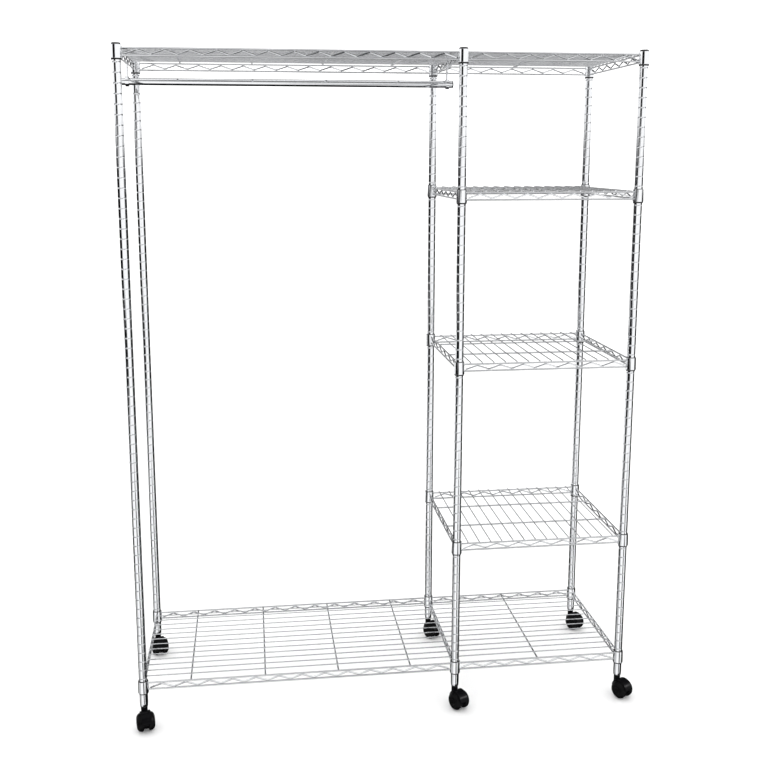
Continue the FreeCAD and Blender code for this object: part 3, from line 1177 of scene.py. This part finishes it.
@dataclass
class WireShelves(SubAssembly):
    """The edge trusses and the decks of welded wire."""

    rail_radius: float = RAIL_RADIUS
    lower_rail: float = LOWER_RAIL
    upper_rail: float = 25.75 * MM
    rail_sides: int = 16
    rail_nip_share: float = 0.25
    rail_sink: float = 13.4 * MM
    zigzag_radius: float = 2.1 * MM
    zigzag_spacing: float = 65.0 * MM
    bend_radius: float = 7.0 * MM
    wire_resolution: int = 3
    deck_radius: float = 1.5 * MM
    deck_height: float = 29.5 * MM
    deck_sides: int = 12
    deck_nip: float = 0.5 * MM
    long_deck_count: int = 13
    square_deck_count: int = 14
    cross_radius: float = 2.25 * MM
    long_cross_count: int = 4
    long_cross_inset: float = 128.0 * MM
    square_cross_inset: float = 137.0 * MM
    bead_radius: float = 2.1 * MM
    bead_half_height: float = 1.0 * MM
    bead_tip_share: float = 0.75
    bead_flat_share: float = 0.4
    bead_sides: int = 8

    def bead(self) -> Object:
        """Model the small bead of metal at a spot weld.

        Returns:
            The bead, about the origin.
        """
        radius, half = self.bead_radius, self.bead_half_height
        tip, flat = radius * self.bead_tip_share, half * self.bead_flat_share
        rings = [(tip, -half), (radius, -flat), (radius, flat), (tip, half)]
        return turned("bead", rings, self.bead_sides)

    def beads(self, first: Vector, *rows: tuple[int, Sequence[float]]) -> Object:
        """Set out weld beads in rows.

        Args:
            first: Where the first bead is.
            rows: The count and the step of each direction they repeat in.

        Returns:
            All of the beads.
        """
        piece = moved(self.bead(), first)
        for count, step in rows:
            repeated(piece, count, step)
        return piece

    def truss(self, length: float) -> Object:
        """Model an edge truss along X: two rails, a zigzag wire and its welds.

        Args:
            length: The distance between the posts at its ends.

        Returns:
            The truss, with its middle over the origin and its collars' lower end at height 0.
        """
        rail_length = length - 2 * self.rail_sink
        rail_nip = self.rail_radius * self.rail_nip_share
        rail = bar("rail", self.rail_radius, rail_length, self.rail_sides, rail_nip)
        heights = (self.lower_rail, self.upper_rail)
        rails = copied(rail, [Matrix.Translation((0, 0, height)) for height in heights])
        reach = length / 2 - self.grid.collar_radius - 2 * self.zigzag_radius
        pitches = round(2 * reach / self.zigzag_spacing)
        run = reach / pitches
        touch = self.rail_radius + self.zigzag_radius
        low, high = self.lower_rail + touch, self.upper_rail - touch
        slope = math.atan2(high - low, run)
        crest = self.bend_radius * (1 / math.cos(slope) - 1)
        corners = []
        for step in range(2 * pitches + 1):
            up = (step - pitches) % 2 == 0
            height = high + crest if up else low - crest
            if step in (0, 2 * pitches):
                height = high if up else low
            corners.append(Vector((step * run - reach, 0, height)))
        nip = self.bend_radius * math.tan(slope)
        zigzag = bent_wire("zigzag", corners, self.zigzag_radius, nip, self.wire_resolution)
        first_up = run if pitches % 2 else 0.0
        first_low = run - first_up
        stride = (2 * run, 0, 0)
        ups = self.beads(
            Vector((first_up - reach, 0, self.upper_rail - self.rail_radius)),
            (pitches if pitches % 2 else pitches + 1, stride),
        )
        lows = self.beads(
            Vector((first_low - reach, 0, self.lower_rail + self.rail_radius)),
            (pitches + 1 if pitches % 2 else pitches, stride),
        )
        return joined("truss", [*rails, zigzag, ups, lows])

    def trusses(self, shelf: Shelf) -> Object:
        """Set the trusses of a shelf between its collars.

        Args:
            shelf: Which shelf.

        Returns:
            All of its trusses.
        """
        grid = self.grid
        base = grid.shelf_z[shelf]
        pieces = []
        columns = shelf.columns
        for start, end in zip(columns, columns[1:]):
            length = grid.column_x[end] - grid.column_x[start]
            middle = (grid.column_x[end] + grid.column_x[start]) / 2
            places = [Matrix.Translation((middle, grid.row_y[row], base)) for row in Row]
            pieces += copied(self.truss(length), places)
        depth = grid.row_y[Row.BACK] - grid.row_y[Row.FRONT]
        turn = Matrix.Rotation(math.pi / 2, 4, "Z")
        places = [Matrix.Translation((grid.column_x[column], 0, base)) @ turn for column in columns]
        pieces += copied(self.truss(depth), places)
        return joined("trusses", pieces)

    def long_deck(self) -> list[Object]:
        """Model the deck of a full-width shelf: wires along X over cross wires.

        Returns:
            The wires and welds, with the collars' lower end at height 0.
        """
        grid = self.grid
        left, right = grid.column_x[Column.LEFT], grid.column_x[Column.RIGHT]
        middle = grid.column_x[Column.MIDDLE]
        front, back = grid.row_y[Row.FRONT], grid.row_y[Row.BACK]
        gap = (back - front) / (self.long_deck_count + 1)
        length = right - left + 2 * self.rail_radius
        wires = bar("wires", self.deck_radius, length, self.deck_sides, self.deck_nip)
        moved(wires, ((left + right) / 2, front + gap, self.deck_height))
        repeated(wires, self.long_deck_count, (0, gap, 0))
        pitch = (middle - left - 2 * self.long_cross_inset) / (self.long_cross_count - 1)
        places = [left + self.long_cross_inset + pitch * step for step in range(self.long_cross_count)]
        places.append((middle + right) / 2)
        reach = back - front - 2 * self.rail_radius
        cross = laid(bar("cross", self.cross_radius, reach, self.rail_sides, self.deck_nip), ("Z", 90))
        pieces = [wires, *copied(cross, [Matrix.Translation((x, 0, self.upper_rail)) for x in places])]
        weld = self.upper_rail + self.cross_radius
        row = (self.long_deck_count, (0, gap, 0))
        for x in [*places, left, middle, right]:
            pieces.append(self.beads(Vector((x, front + gap, weld)), row))
        return pieces

    def square_deck(self) -> list[Object]:
        """Model the deck of a square shelf: wires along Y over cross wires.

        Returns:
            The wires and welds, with the collars' lower end at height 0.
        """
        grid = self.grid
        left, right = grid.column_x[Column.MIDDLE], grid.column_x[Column.RIGHT]
        front, back = grid.row_y[Row.FRONT], grid.row_y[Row.BACK]
        gap = (right - left) / (self.square_deck_count + 1)
        length = back - front + 2 * self.rail_radius
        wires = laid(bar("wires", self.deck_radius, length, self.deck_sides, self.deck_nip), ("Z", 90))
        moved(wires, (left + gap, 0, self.deck_height))
        repeated(wires, self.square_deck_count, (gap, 0, 0))
        reach = right - left - 2 * self.rail_radius
        cross = bar("cross", self.cross_radius, reach, self.rail_sides, self.deck_nip)
        middle = (left + right) / 2
        places = [front + self.square_cross_inset, back - self.square_cross_inset]
        pieces = [wires, *copied(cross, [Matrix.Translation((middle, y, self.upper_rail)) for y in places])]
        weld = self.upper_rail + self.cross_radius
        row = (self.square_deck_count, (gap, 0, 0))
        for y in [front, *places, back]:
            pieces.append(self.beads(Vector((left + gap, y, weld)), row))
        return pieces

    def build(self) -> None:
        """Build and dress the trusses and the deck of each shelf."""
        for shelf in Shelf:
            self.dress(self.trusses(shelf), f"{shelf.value}_shelf_trusses")
            deck = joined("deck", self.long_deck() if shelf.full_width else self.square_deck())
            moved(deck, (0, 0, self.grid.shelf_z[shelf]))
            self.dress(deck, f"{shelf.value}_shelf_deck_wires")


@dataclass
class HangingRod(SubAssembly):
    """The rod of the hanging bay, its end caps and its two hangers."""

    sides: int = 40
    wall: float = 1.2 * MM
    rim: float = 0.35 * MM
    cap_rim: float = 2.5 * MM
    cap_edge: float = 0.9 * MM
    dish_shares: tuple[float, float, float] = (0.6, 0.55, 0.1)
    cap_plug_length: float = 12.0 * MM
    plug_gap: float = 0.1 * MM
    rod_hole_gap: float = 0.1 * MM
    ring_width: float = 9.0 * MM
    ring_wall: float = 3.5 * MM
    strap_thickness: float = 4.0 * MM
    strap_width: float = 14.0 * MM
    rail_radius: float = RAIL_RADIUS
    hook_gap: float = 0.1 * MM
    hook_wall: float = 2.2 * MM
    lower_rail: float = LOWER_RAIL
    hanger_edge: float = 0.6 * MM
    hanger_edge_steps: int = 3

    def tube(self, radius: float, length: float) -> Object:
        """Model the rod along X.

        Args:
            radius: Its radius.
            length: Its length.

        Returns:
            The tube, with its middle at the origin.
        """
        bore = radius - self.wall
        half = length / 2
        rings = [
            (bore, -half),
            (radius - self.rim, -half),
            (radius, self.rim - half),
            (radius, half - self.rim),
            (radius - self.rim, half),
            (bore, half),
        ]
        return laid(turned("rod", rings, self.sides, Ends.LOOPED), ("Y", 90))

    def cap(self, radius: float) -> Object:
        """Model an end cap that looks along X from a rod whose end is at the origin.

        Args:
            radius: The radius of the rod.

        Returns:
            The cap.
        """
        dish = self.cap_rim - self.rim
        rings = push_in_plug(radius - self.wall - self.plug_gap, self.cap_plug_length)
        rings += [(radius - self.rim, 0.0), (radius, self.rim)]
        rings += corner_arc(radius - self.cap_edge, self.cap_rim - self.cap_edge, self.cap_edge, 0.0)
        for share, height in zip(self.dish_shares, (self.cap_rim, dish, dish)):
            rings.append((radius * share, height))
        return laid(turned("rod_cap", rings, self.sides), ("Y", 90))

    def hanger(self, radius: float, drop: float) -> Object:
        """Model a hanger: a ring round the rod, a strap and a hook over the rail above it.

        Args:
            radius: The radius of the rod.
            drop: How far the rod is under the rail.

        Returns:
            The hanger, with the rod's middle at the origin.
        """
        hole = radius + self.rod_hole_gap
        ring = hole + self.ring_wall
        half = self.ring_width / 2
        hook_hole = self.rail_radius + self.hook_gap
        hook = hook_hole + self.hook_wall
        piece = laid(drum("hanger", ring, -half, half, self.sides), ("Y", 90))
        strap = block("strap", (self.strap_thickness, self.strap_width, drop), (0, 0, drop / 2))
        shaped(piece, strap, Join.ADD)
        for name, size, width, join in (
            ("hook", hook, self.strap_width / 2, Join.ADD),
            ("hook_hole", hook_hole, self.strap_width, Join.CUT),
        ):
            tool = laid(drum(name, size, -width, width, self.sides), ("X", 90))
            shaped(piece, moved(tool, (0, 0, drop)), join)
        mouth = block("mouth", (hook * 2, self.strap_width * 2, hook_hole * 2), (hook, 0, drop))
        shaped(piece, mouth, Join.CUT)
        rod_hole = laid(drum("rod_hole", hole, -ring, ring, self.sides), ("Y", 90))
        shaped(piece, rod_hole, Join.CUT)
        return rounded(piece, self.hanger_edge, self.hanger_edge_steps)

    def build(self) -> None:
        """Build and dress the rod, caps and hangers."""
        low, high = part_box("hanging_rod")
        middle = (low + high) / 2
        radius = (high.z - low.z) / 2
        rod = moved(self.tube(radius, high.x - low.x), middle)
        self.dress(rod, "hanging_rod")
        caps = copied(
            self.cap(radius),
            [
                Matrix.Translation((high.x, middle.y, middle.z)),
                Matrix.Translation((low.x, middle.y, middle.z)) @ Matrix.Rotation(math.pi, 4, "Z"),
            ],
        )
        self.dress(joined("rod_caps", caps), "hanging_rod_end_caps")
        drop = self.grid.shelf_z[Shelf.TOP] + self.lower_rail - middle.z
        columns = (Column.LEFT, Column.MIDDLE)
        column_x = self.grid.column_x
        places = [Matrix.Translation((column_x[column], middle.y, middle.z)) for column in columns]
        for column, hanger in zip(columns, copied(self.hanger(radius, drop), places)):
            self.dress(hanger, f"{column.value}_rod_hanger")


@dataclass
class Casters(SubAssembly):
    """Six twin-wheel casters: hood, wheels and the stem that each one swivels on."""

    sides: int = 48
    wheel_radius: float = 25.0 * MM
    wheel_width: float = 17.0 * MM
    dome_radius: float = 11.9 * MM
    dome_steps: int = 8
    inner_edge: float = 3.74 * MM
    tread_crown: float = 0.25 * MM
    wheel_hub: float = 9.0 * MM
    rim_depth: float = 5.5 * MM
    cover_wall: float = 6.0 * MM
    dish_radius: float = 10.48 * MM
    dish_depth: float = 1.2 * MM
    dish_slope: float = 3.0 * MM
    dish_lip: float = 0.4 * MM
    dish_lip_drop: float = 0.15 * MM
    dish_floor_rise: float = 0.1 * MM
    boss_cap: float = 5.5 * MM
    boss_cap_height: float = 0.7 * MM
    boss_cap_edge: float = 0.5 * MM
    boss_cap_rise_shares: tuple[float, float] = (0.5, 0.9)
    boss_cap_flat_share: float = 0.4
    wheel_gap: float = 0.5 * MM
    web: float = 13.0 * MM
    hood_width: float = 28.0 * MM
    hood_sweep: float = 156.0
    hood_edge: float = 1.8 * MM
    hood_hub: float = 19.0 * MM
    fender_gap: float = 1.3 * MM
    fender_wall: float = 2.2 * MM
    trail: float = 21.0 * MM
    boss_radius: float = 9.0 * MM
    boss_length: float = 21.0 * MM
    boss_edge: float = 1.2 * MM
    boss_top: float = 58.0 * MM
    pivot_hole: float = 4.05 * MM
    pivot_depth: float = 18.3 * MM
    axle_hole: float = 3.05 * MM
    axle_room: float = 13.0 * MM
    hood_rounding: float = 0.6 * MM
    hood_sharp_edge: float = 40.0
    stem_radius: float = 5.0 * MM
    stem_shoulder: float = 8.0 * MM
    stem_shoulder_height: float = 1.7 * MM
    stem_edge: float = 0.4 * MM
    pivot_radius: float = 4.0 * MM
    pivot_length: float = 18.0 * MM
    flange_height: float = FLANGE_HEIGHT
    plug_length: float = FOOT_PLUG_LENGTH

    def wheel(self) -> Object:
        """Model a wheel about X, on the side that X points to, with the axle's middle at the origin.

        Returns:
            The wheel.
        """
        inner = self.web / 2 + self.wheel_gap
        outer = inner + self.wheel_width
        radius = self.wheel_radius
        tread = radius - self.tread_crown
        dish = outer - self.dish_depth
        floor = dish - self.cover_wall + self.dish_depth
        hollow = radius - self.rim_depth
        slope = self.dish_radius - self.dish_slope
        rings = [
            (self.axle_hole, inner + self.axle_room),
            (self.axle_hole, inner),
            (self.wheel_hub, inner),
            (self.wheel_hub, floor),
            (hollow, floor),
            (hollow, inner),
        ]
        rings += corner_arc(tread - self.inner_edge, inner + self.inner_edge, self.inner_edge, -90.0)
        dome = self.dome_radius
        rings += [(radius, (inner + self.inner_edge + outer - dome) / 2)]
        rings += corner_arc(tread - dome, outer - dome, dome, 0.0, self.dome_steps)
        rings += [
            (self.dish_radius + self.dish_lip, outer),
            (self.dish_radius, outer - self.dish_lip_drop),
            (slope + self.dish_lip, dish + self.dish_floor_rise),
            (slope, dish),
        ]
        side_share, edge_share = self.boss_cap_rise_shares
        rings += [
            (self.boss_cap + self.boss_cap_edge, dish),
            (self.boss_cap, dish + self.boss_cap_height * side_share),
            (self.boss_cap - self.boss_cap_edge, dish + self.boss_cap_height * edge_share),
            (self.boss_cap * self.boss_cap_flat_share, dish + self.boss_cap_height),
        ]
        return laid(turned("wheel", rings, self.sides), ("Y", 90))

    def hood(self) -> Object:
        """Model a hood with the axle's middle at the origin and its boss behind it along Y.

        Returns:
            The hood.
        """
        well = self.wheel_radius + self.fender_gap
        fender = well + self.fender_wall
        half = self.hood_width / 2
        edge = self.hood_edge
        rings = corner_arc(fender - edge, edge - half, edge, -90.0)
        rings += corner_arc(fender - edge, half - edge, edge, 0.0)
        piece = laid(turned("hood", rings, 2 * self.sides), ("Y", 90))
        reach = math.radians(self.hood_sweep / 2)
        with editing(piece):
            for side in (1, -1):
                bpy.ops.mesh.select_all(action="SELECT")
                bpy.ops.mesh.bisect(
                    plane_co=(0, 0, 0),
                    plane_no=(0, side * math.cos(reach), -math.sin(reach)),
                    use_fill=True,
                    clear_outer=True,
                )
        top = self.boss_top - self.wheel_radius
        boss_rings = [(self.boss_radius, top - self.boss_length)]
        curve = self.boss_edge
        boss_rings += corner_arc(self.boss_radius - curve, top - curve, curve, 0.0)
        boss = moved(turned("boss", boss_rings, self.sides), (0, self.trail, 0))
        shaped(piece, boss, Join.ADD)
        for side in (1, -1):
            near, far = side * self.web / 2, side * self.hood_width
            tool = laid(drum("well", well, near, far, 2 * self.sides), ("Y", 90))
            shaped(piece, tool, Join.CUT)
        hub = laid(drum("hub", self.hood_hub, -self.web / 2, self.web / 2, self.sides), ("Y", 90))
        shaped(piece, hub, Join.ADD)
        axle = laid(drum("axle_hole", self.axle_hole, -half, half, self.sides), ("Y", 90))
        shaped(piece, axle, Join.CUT)
        pivot = drum("pivot_hole", self.pivot_hole, top - self.pivot_depth, top + edge, self.sides)
        shaped(piece, moved(pivot, (0, self.trail, 0)), Join.CUT)
        return rounded(piece, self.hood_rounding)

    def stem(self) -> Object:
        """Model a stem in a post whose foot is at the origin.

        Returns:
            The stem.
        """
        seat = -self.flange_height
        under = seat - self.stem_shoulder_height
        edge = self.stem_edge
        rings = [
            (self.pivot_radius - edge, under - self.pivot_length),
            (self.pivot_radius, under - self.pivot_length + edge),
            (self.pivot_radius, under),
            (self.stem_shoulder - edge, under),
            (self.stem_shoulder, under + edge),
            (self.stem_shoulder, seat - edge),
            (self.stem_shoulder - edge, seat),
            (self.stem_radius, seat),
            (self.stem_radius, self.plug_length - edge),
            (self.stem_radius - edge, self.plug_length),
        ]
        return turned("stem", rings, self.sides)

    def build(self) -> None:
        """Build and dress the casters, each turned as its joint says."""
        posts = [f"{row.value}_{column.value}" for row in Row for column in Column]
        places = []
        for post in posts:
            spin = next(row for row in frame["joints"] if row["name"] == f"{post}_wheel_right_spin")
            turn = math.atan2(spin["axis"][1], spin["axis"][0])
            places.append(Matrix.Translation(spin["pos_m"]) @ Matrix.Rotation(turn, 4, "Z"))
        flip = Matrix.Rotation(math.pi, 4, "Z")
        for post, hood in zip(posts, copied(self.hood(), places)):
            self.dress(hood, f"{post}_caster_hood", self.hood_sharp_edge)
        for post, wheel in zip(posts, copied(self.wheel(), places)):
            self.dress(wheel, f"{post}_caster_wheel_right")
        for post, wheel in zip(posts, copied(self.wheel(), [place @ flip for place in places])):
            self.dress(wheel, f"{post}_caster_wheel_left")
        for post in posts:
            axle = frame["nodes"][f"{post}_caster_axle"]
            axle.data.materials.clear()
            axle.data.materials.append(self.materials["plain_steel"])
        stems = copied(self.stem(), self.grid.post_places(list(Column), self.grid.foot_z))
        self.dress(joined("stems", stems), "caster_stems")


@dataclass(frozen=True)
class LightPanel:
    """A white panel of the studio, or a dark flag before one, as seen from the rack.

    Bearings are in degrees, 0 towards the camera and rising to its right. Heights run from -1,
    straight down, to 1, straight up. A flag has a strength below 0.
    """

    left: float
    right: float
    low: float
    high: float
    strength: float = 1.0
    soft: float = 0.07


@dataclass
class Studio:
    """The pale floor, the soft light and the camera."""

    floor_size: float = 80.0
    floor_colour: Colour = (0.86, 0.86, 0.86, 1.0)
    floor_roughness: float = 0.9
    mottle_colour: Colour = (0.8, 0.8, 0.8, 1.0)
    mottle_scale: float = 3.0
    mottle_share: float = 0.05
    camera_place: tuple[float, float, float] = (-0.3585, -2.7964, 1.54)
    camera_turn: float = 7.265
    camera_dip: float = 9.838
    lens: float = 46.875
    shift: tuple[float, float] = (0.0087, -0.07)
    room_light: float = 1.5
    box_light: Colour = (1.25, 1.25, 1.26, 1.0)
    dark: Colour = (0.008, 0.008, 0.009, 1.0)
    panels: tuple[LightPanel, ...] = (
        # White walls, a white ceiling in front and a white patch straight above
        LightPanel(-200.0, 200.0, -2.0, 0.20),
        LightPanel(-100.0, 100.0, 0.20, 2.0),
        LightPanel(-200.0, 200.0, 0.93, 2.0),
        # Dark flags to the right and the left, which the posts show as upright lines
        LightPanel(72.0, 158.0, -0.46, 0.01, -1.0),
        LightPanel(-140.0, -42.0, -0.15, 0.02, -1.0),
        LightPanel(-95.0, -12.0, -0.24, -0.14, -1.0),
        LightPanel(-100.0, -45.0, -0.31, -0.22, -1.0),
        LightPanel(-116.0, -70.0, -0.39, -0.30, -1.0),
        LightPanel(-58.0, -8.0, 0.01, 0.36, -1.0),
        LightPanel(-150.0, -100.0, -0.80, -0.34, -1.0),
        LightPanel(-100.0, -45.0, -0.80, -0.38, -0.45),
        LightPanel(50.0, 152.0, -0.80, -0.44, -1.0),
        # Dark flags in front, which the rod and the wires show
        LightPanel(10.0, 34.0, -0.55, -0.30, -1.0),
        LightPanel(-2.0, 34.0, 0.20, 0.50, -1.0),
        LightPanel(-2.0, 34.0, 0.62, 0.90, -1.0),
        # A grey wall behind, darker low down, and a dark patch straight below
        LightPanel(152.0, 200.0, -2.0, 0.20, -0.60),
        LightPanel(-200.0, -150.0, -2.0, 0.20, -0.60),
        LightPanel(152.0, 200.0, -0.84, -0.45, -0.40),
        LightPanel(-200.0, -150.0, -0.84, -0.45, -0.40),
        LightPanel(-200.0, 200.0, -2.0, -0.82, -1.0),
    )
    lamp_place: tuple[float, float, float] = (2.9, -1.2, 1.8)
    lamp_aim: tuple[float, float, float] = (0.0, -0.2, 0.1)
    lamp_size: float = 0.5
    lamp_power: float = 90.0

    def floor(self) -> None:
        """Lay a pale matt floor under the wheels."""
        bpy.ops.object.select_all(action="DESELECT")
        bpy.ops.mesh.primitive_plane_add(size=self.floor_size)
        floor = bpy.context.object
        floor.name = "studio_floor"
        material, bench = new_material("pale_floor")
        mottle = bench.noise(bench.coordinates(), self.mottle_scale)
        bench.surface(
            Base_Color=bench.blend(mottle * self.mottle_share, self.floor_colour, self.mottle_colour),
            Roughness=self.floor_roughness,
            Specular_IOR_Level=0.0,
        )
        floor.data.materials.append(material)
        floor.visible_glossy = False

    @staticmethod
    def between(bench: FinishBench, value: Signal, low: float, high: float, soft: float) -> Signal:
        """Mark the values between two limits, with soft edges.

        Args:
            bench: The bench that the light is made on.
            value: What is looked at.
            low: The lower limit.
            high: The upper limit.
            soft: The width of the edges.

        Returns:
            1 inside the limits and 0 outside.
        """
        rises = [
            bench.node(
                "ShaderNodeMapRange",
                {"interpolation_type": "SMOOTHSTEP"},
                {"Value": value, "From Min": limit - soft / 2, "From Max": limit + soft / 2},
            )
            for limit in (low, high)
        ]
        return rises[0] - rises[1]

    def light(self) -> None:
        """Light the room evenly, with white panels round it that show in the chrome."""
        world = bpy.data.worlds.new("studio")
        bpy.context.scene.world = world
        world.use_nodes = True
        bench = FinishBench(world.node_tree)
        way = bench.coordinates("Generated")
        x, y, z = (bench.axis(way, letter) for letter in "XYZ")
        turn = math.radians(self.camera_turn)
        facing = x * -math.sin(turn) - y * math.cos(turn)
        aside = x * math.cos(turn) - y * math.sin(turn)
        bearing = bench.node("ShaderNodeMath", {"operation": "ARCTAN2"}, {0: aside, 1: facing})
        share = 0.0
        for panel in self.panels:
            left, right = math.radians(panel.left), math.radians(panel.right)
            width = self.between(bench, bearing, left, right, panel.soft)
            height = self.between(bench, z, panel.low, panel.high, panel.soft)
            share = share + width * height * panel.strength
        boxes = bench.blend(share, self.dark, self.box_light)
        glossy = bench.node("ShaderNodeLightPath", {}, {}, "Is Glossy Ray")
        plain = (self.room_light, self.room_light, self.room_light, 1.0)
        colour = bench.blend(glossy, plain, boxes)
        background = bench.node("ShaderNodeBackground", {}, {"Color": colour})
        bench.node("ShaderNodeOutputWorld", {}, {"Surface": background})
        bpy.context.scene.view_settings.view_transform = "Standard"

    def lamp(self) -> None:
        """Set a small soft lamp that puts a highlight on the casters and lights nothing else."""
        aim = Vector(self.lamp_aim) - Vector(self.lamp_place)
        bpy.ops.object.light_add(
            type="AREA", location=self.lamp_place, rotation=aim.to_track_quat("-Z", "Y").to_euler()
        )
        lamp = bpy.context.object
        lamp.data.size = self.lamp_size
        lamp.data.energy = self.lamp_power
        lamp.visible_camera = False
        lit = bpy.data.collections.new("lamp_lit")
        for piece in bpy.context.scene.objects:
            if "_caster_" in piece.name:
                lit.objects.link(piece)
        lamp.light_linking.receiver_collection = lit

    def camera(self) -> None:
        """Set the camera at the photograph's viewing angle."""
        tilt = math.radians(90.0 - self.camera_dip)
        bpy.ops.object.camera_add(
            location=self.camera_place, rotation=(tilt, 0.0, -math.radians(self.camera_turn))
        )
        camera = bpy.context.object
        camera.data.lens = self.lens
        camera.data.shift_x, camera.data.shift_y = self.shift
        bpy.context.scene.camera = camera

    def build(self) -> None:
        """Set up the studio."""
        self.floor()
        self.light()
        self.lamp()
        self.camera()


def main() -> None:
    """Build the rack and the studio in order."""
    logging.basicConfig(level=logging.INFO, format="%(name)s: %(message)s")
    grid = Grid.from_frame()
    materials = {slot: finish.material() for slot, finish in FINISHES.items()}
    for assembly in (Posts, ShelfSeats, WireShelves, HangingRod, Casters):
        LOG.info("building %s", assembly.__name__)
        assembly(grid, materials).build()
    Studio().build()


if __name__ == "__main__":
    main()
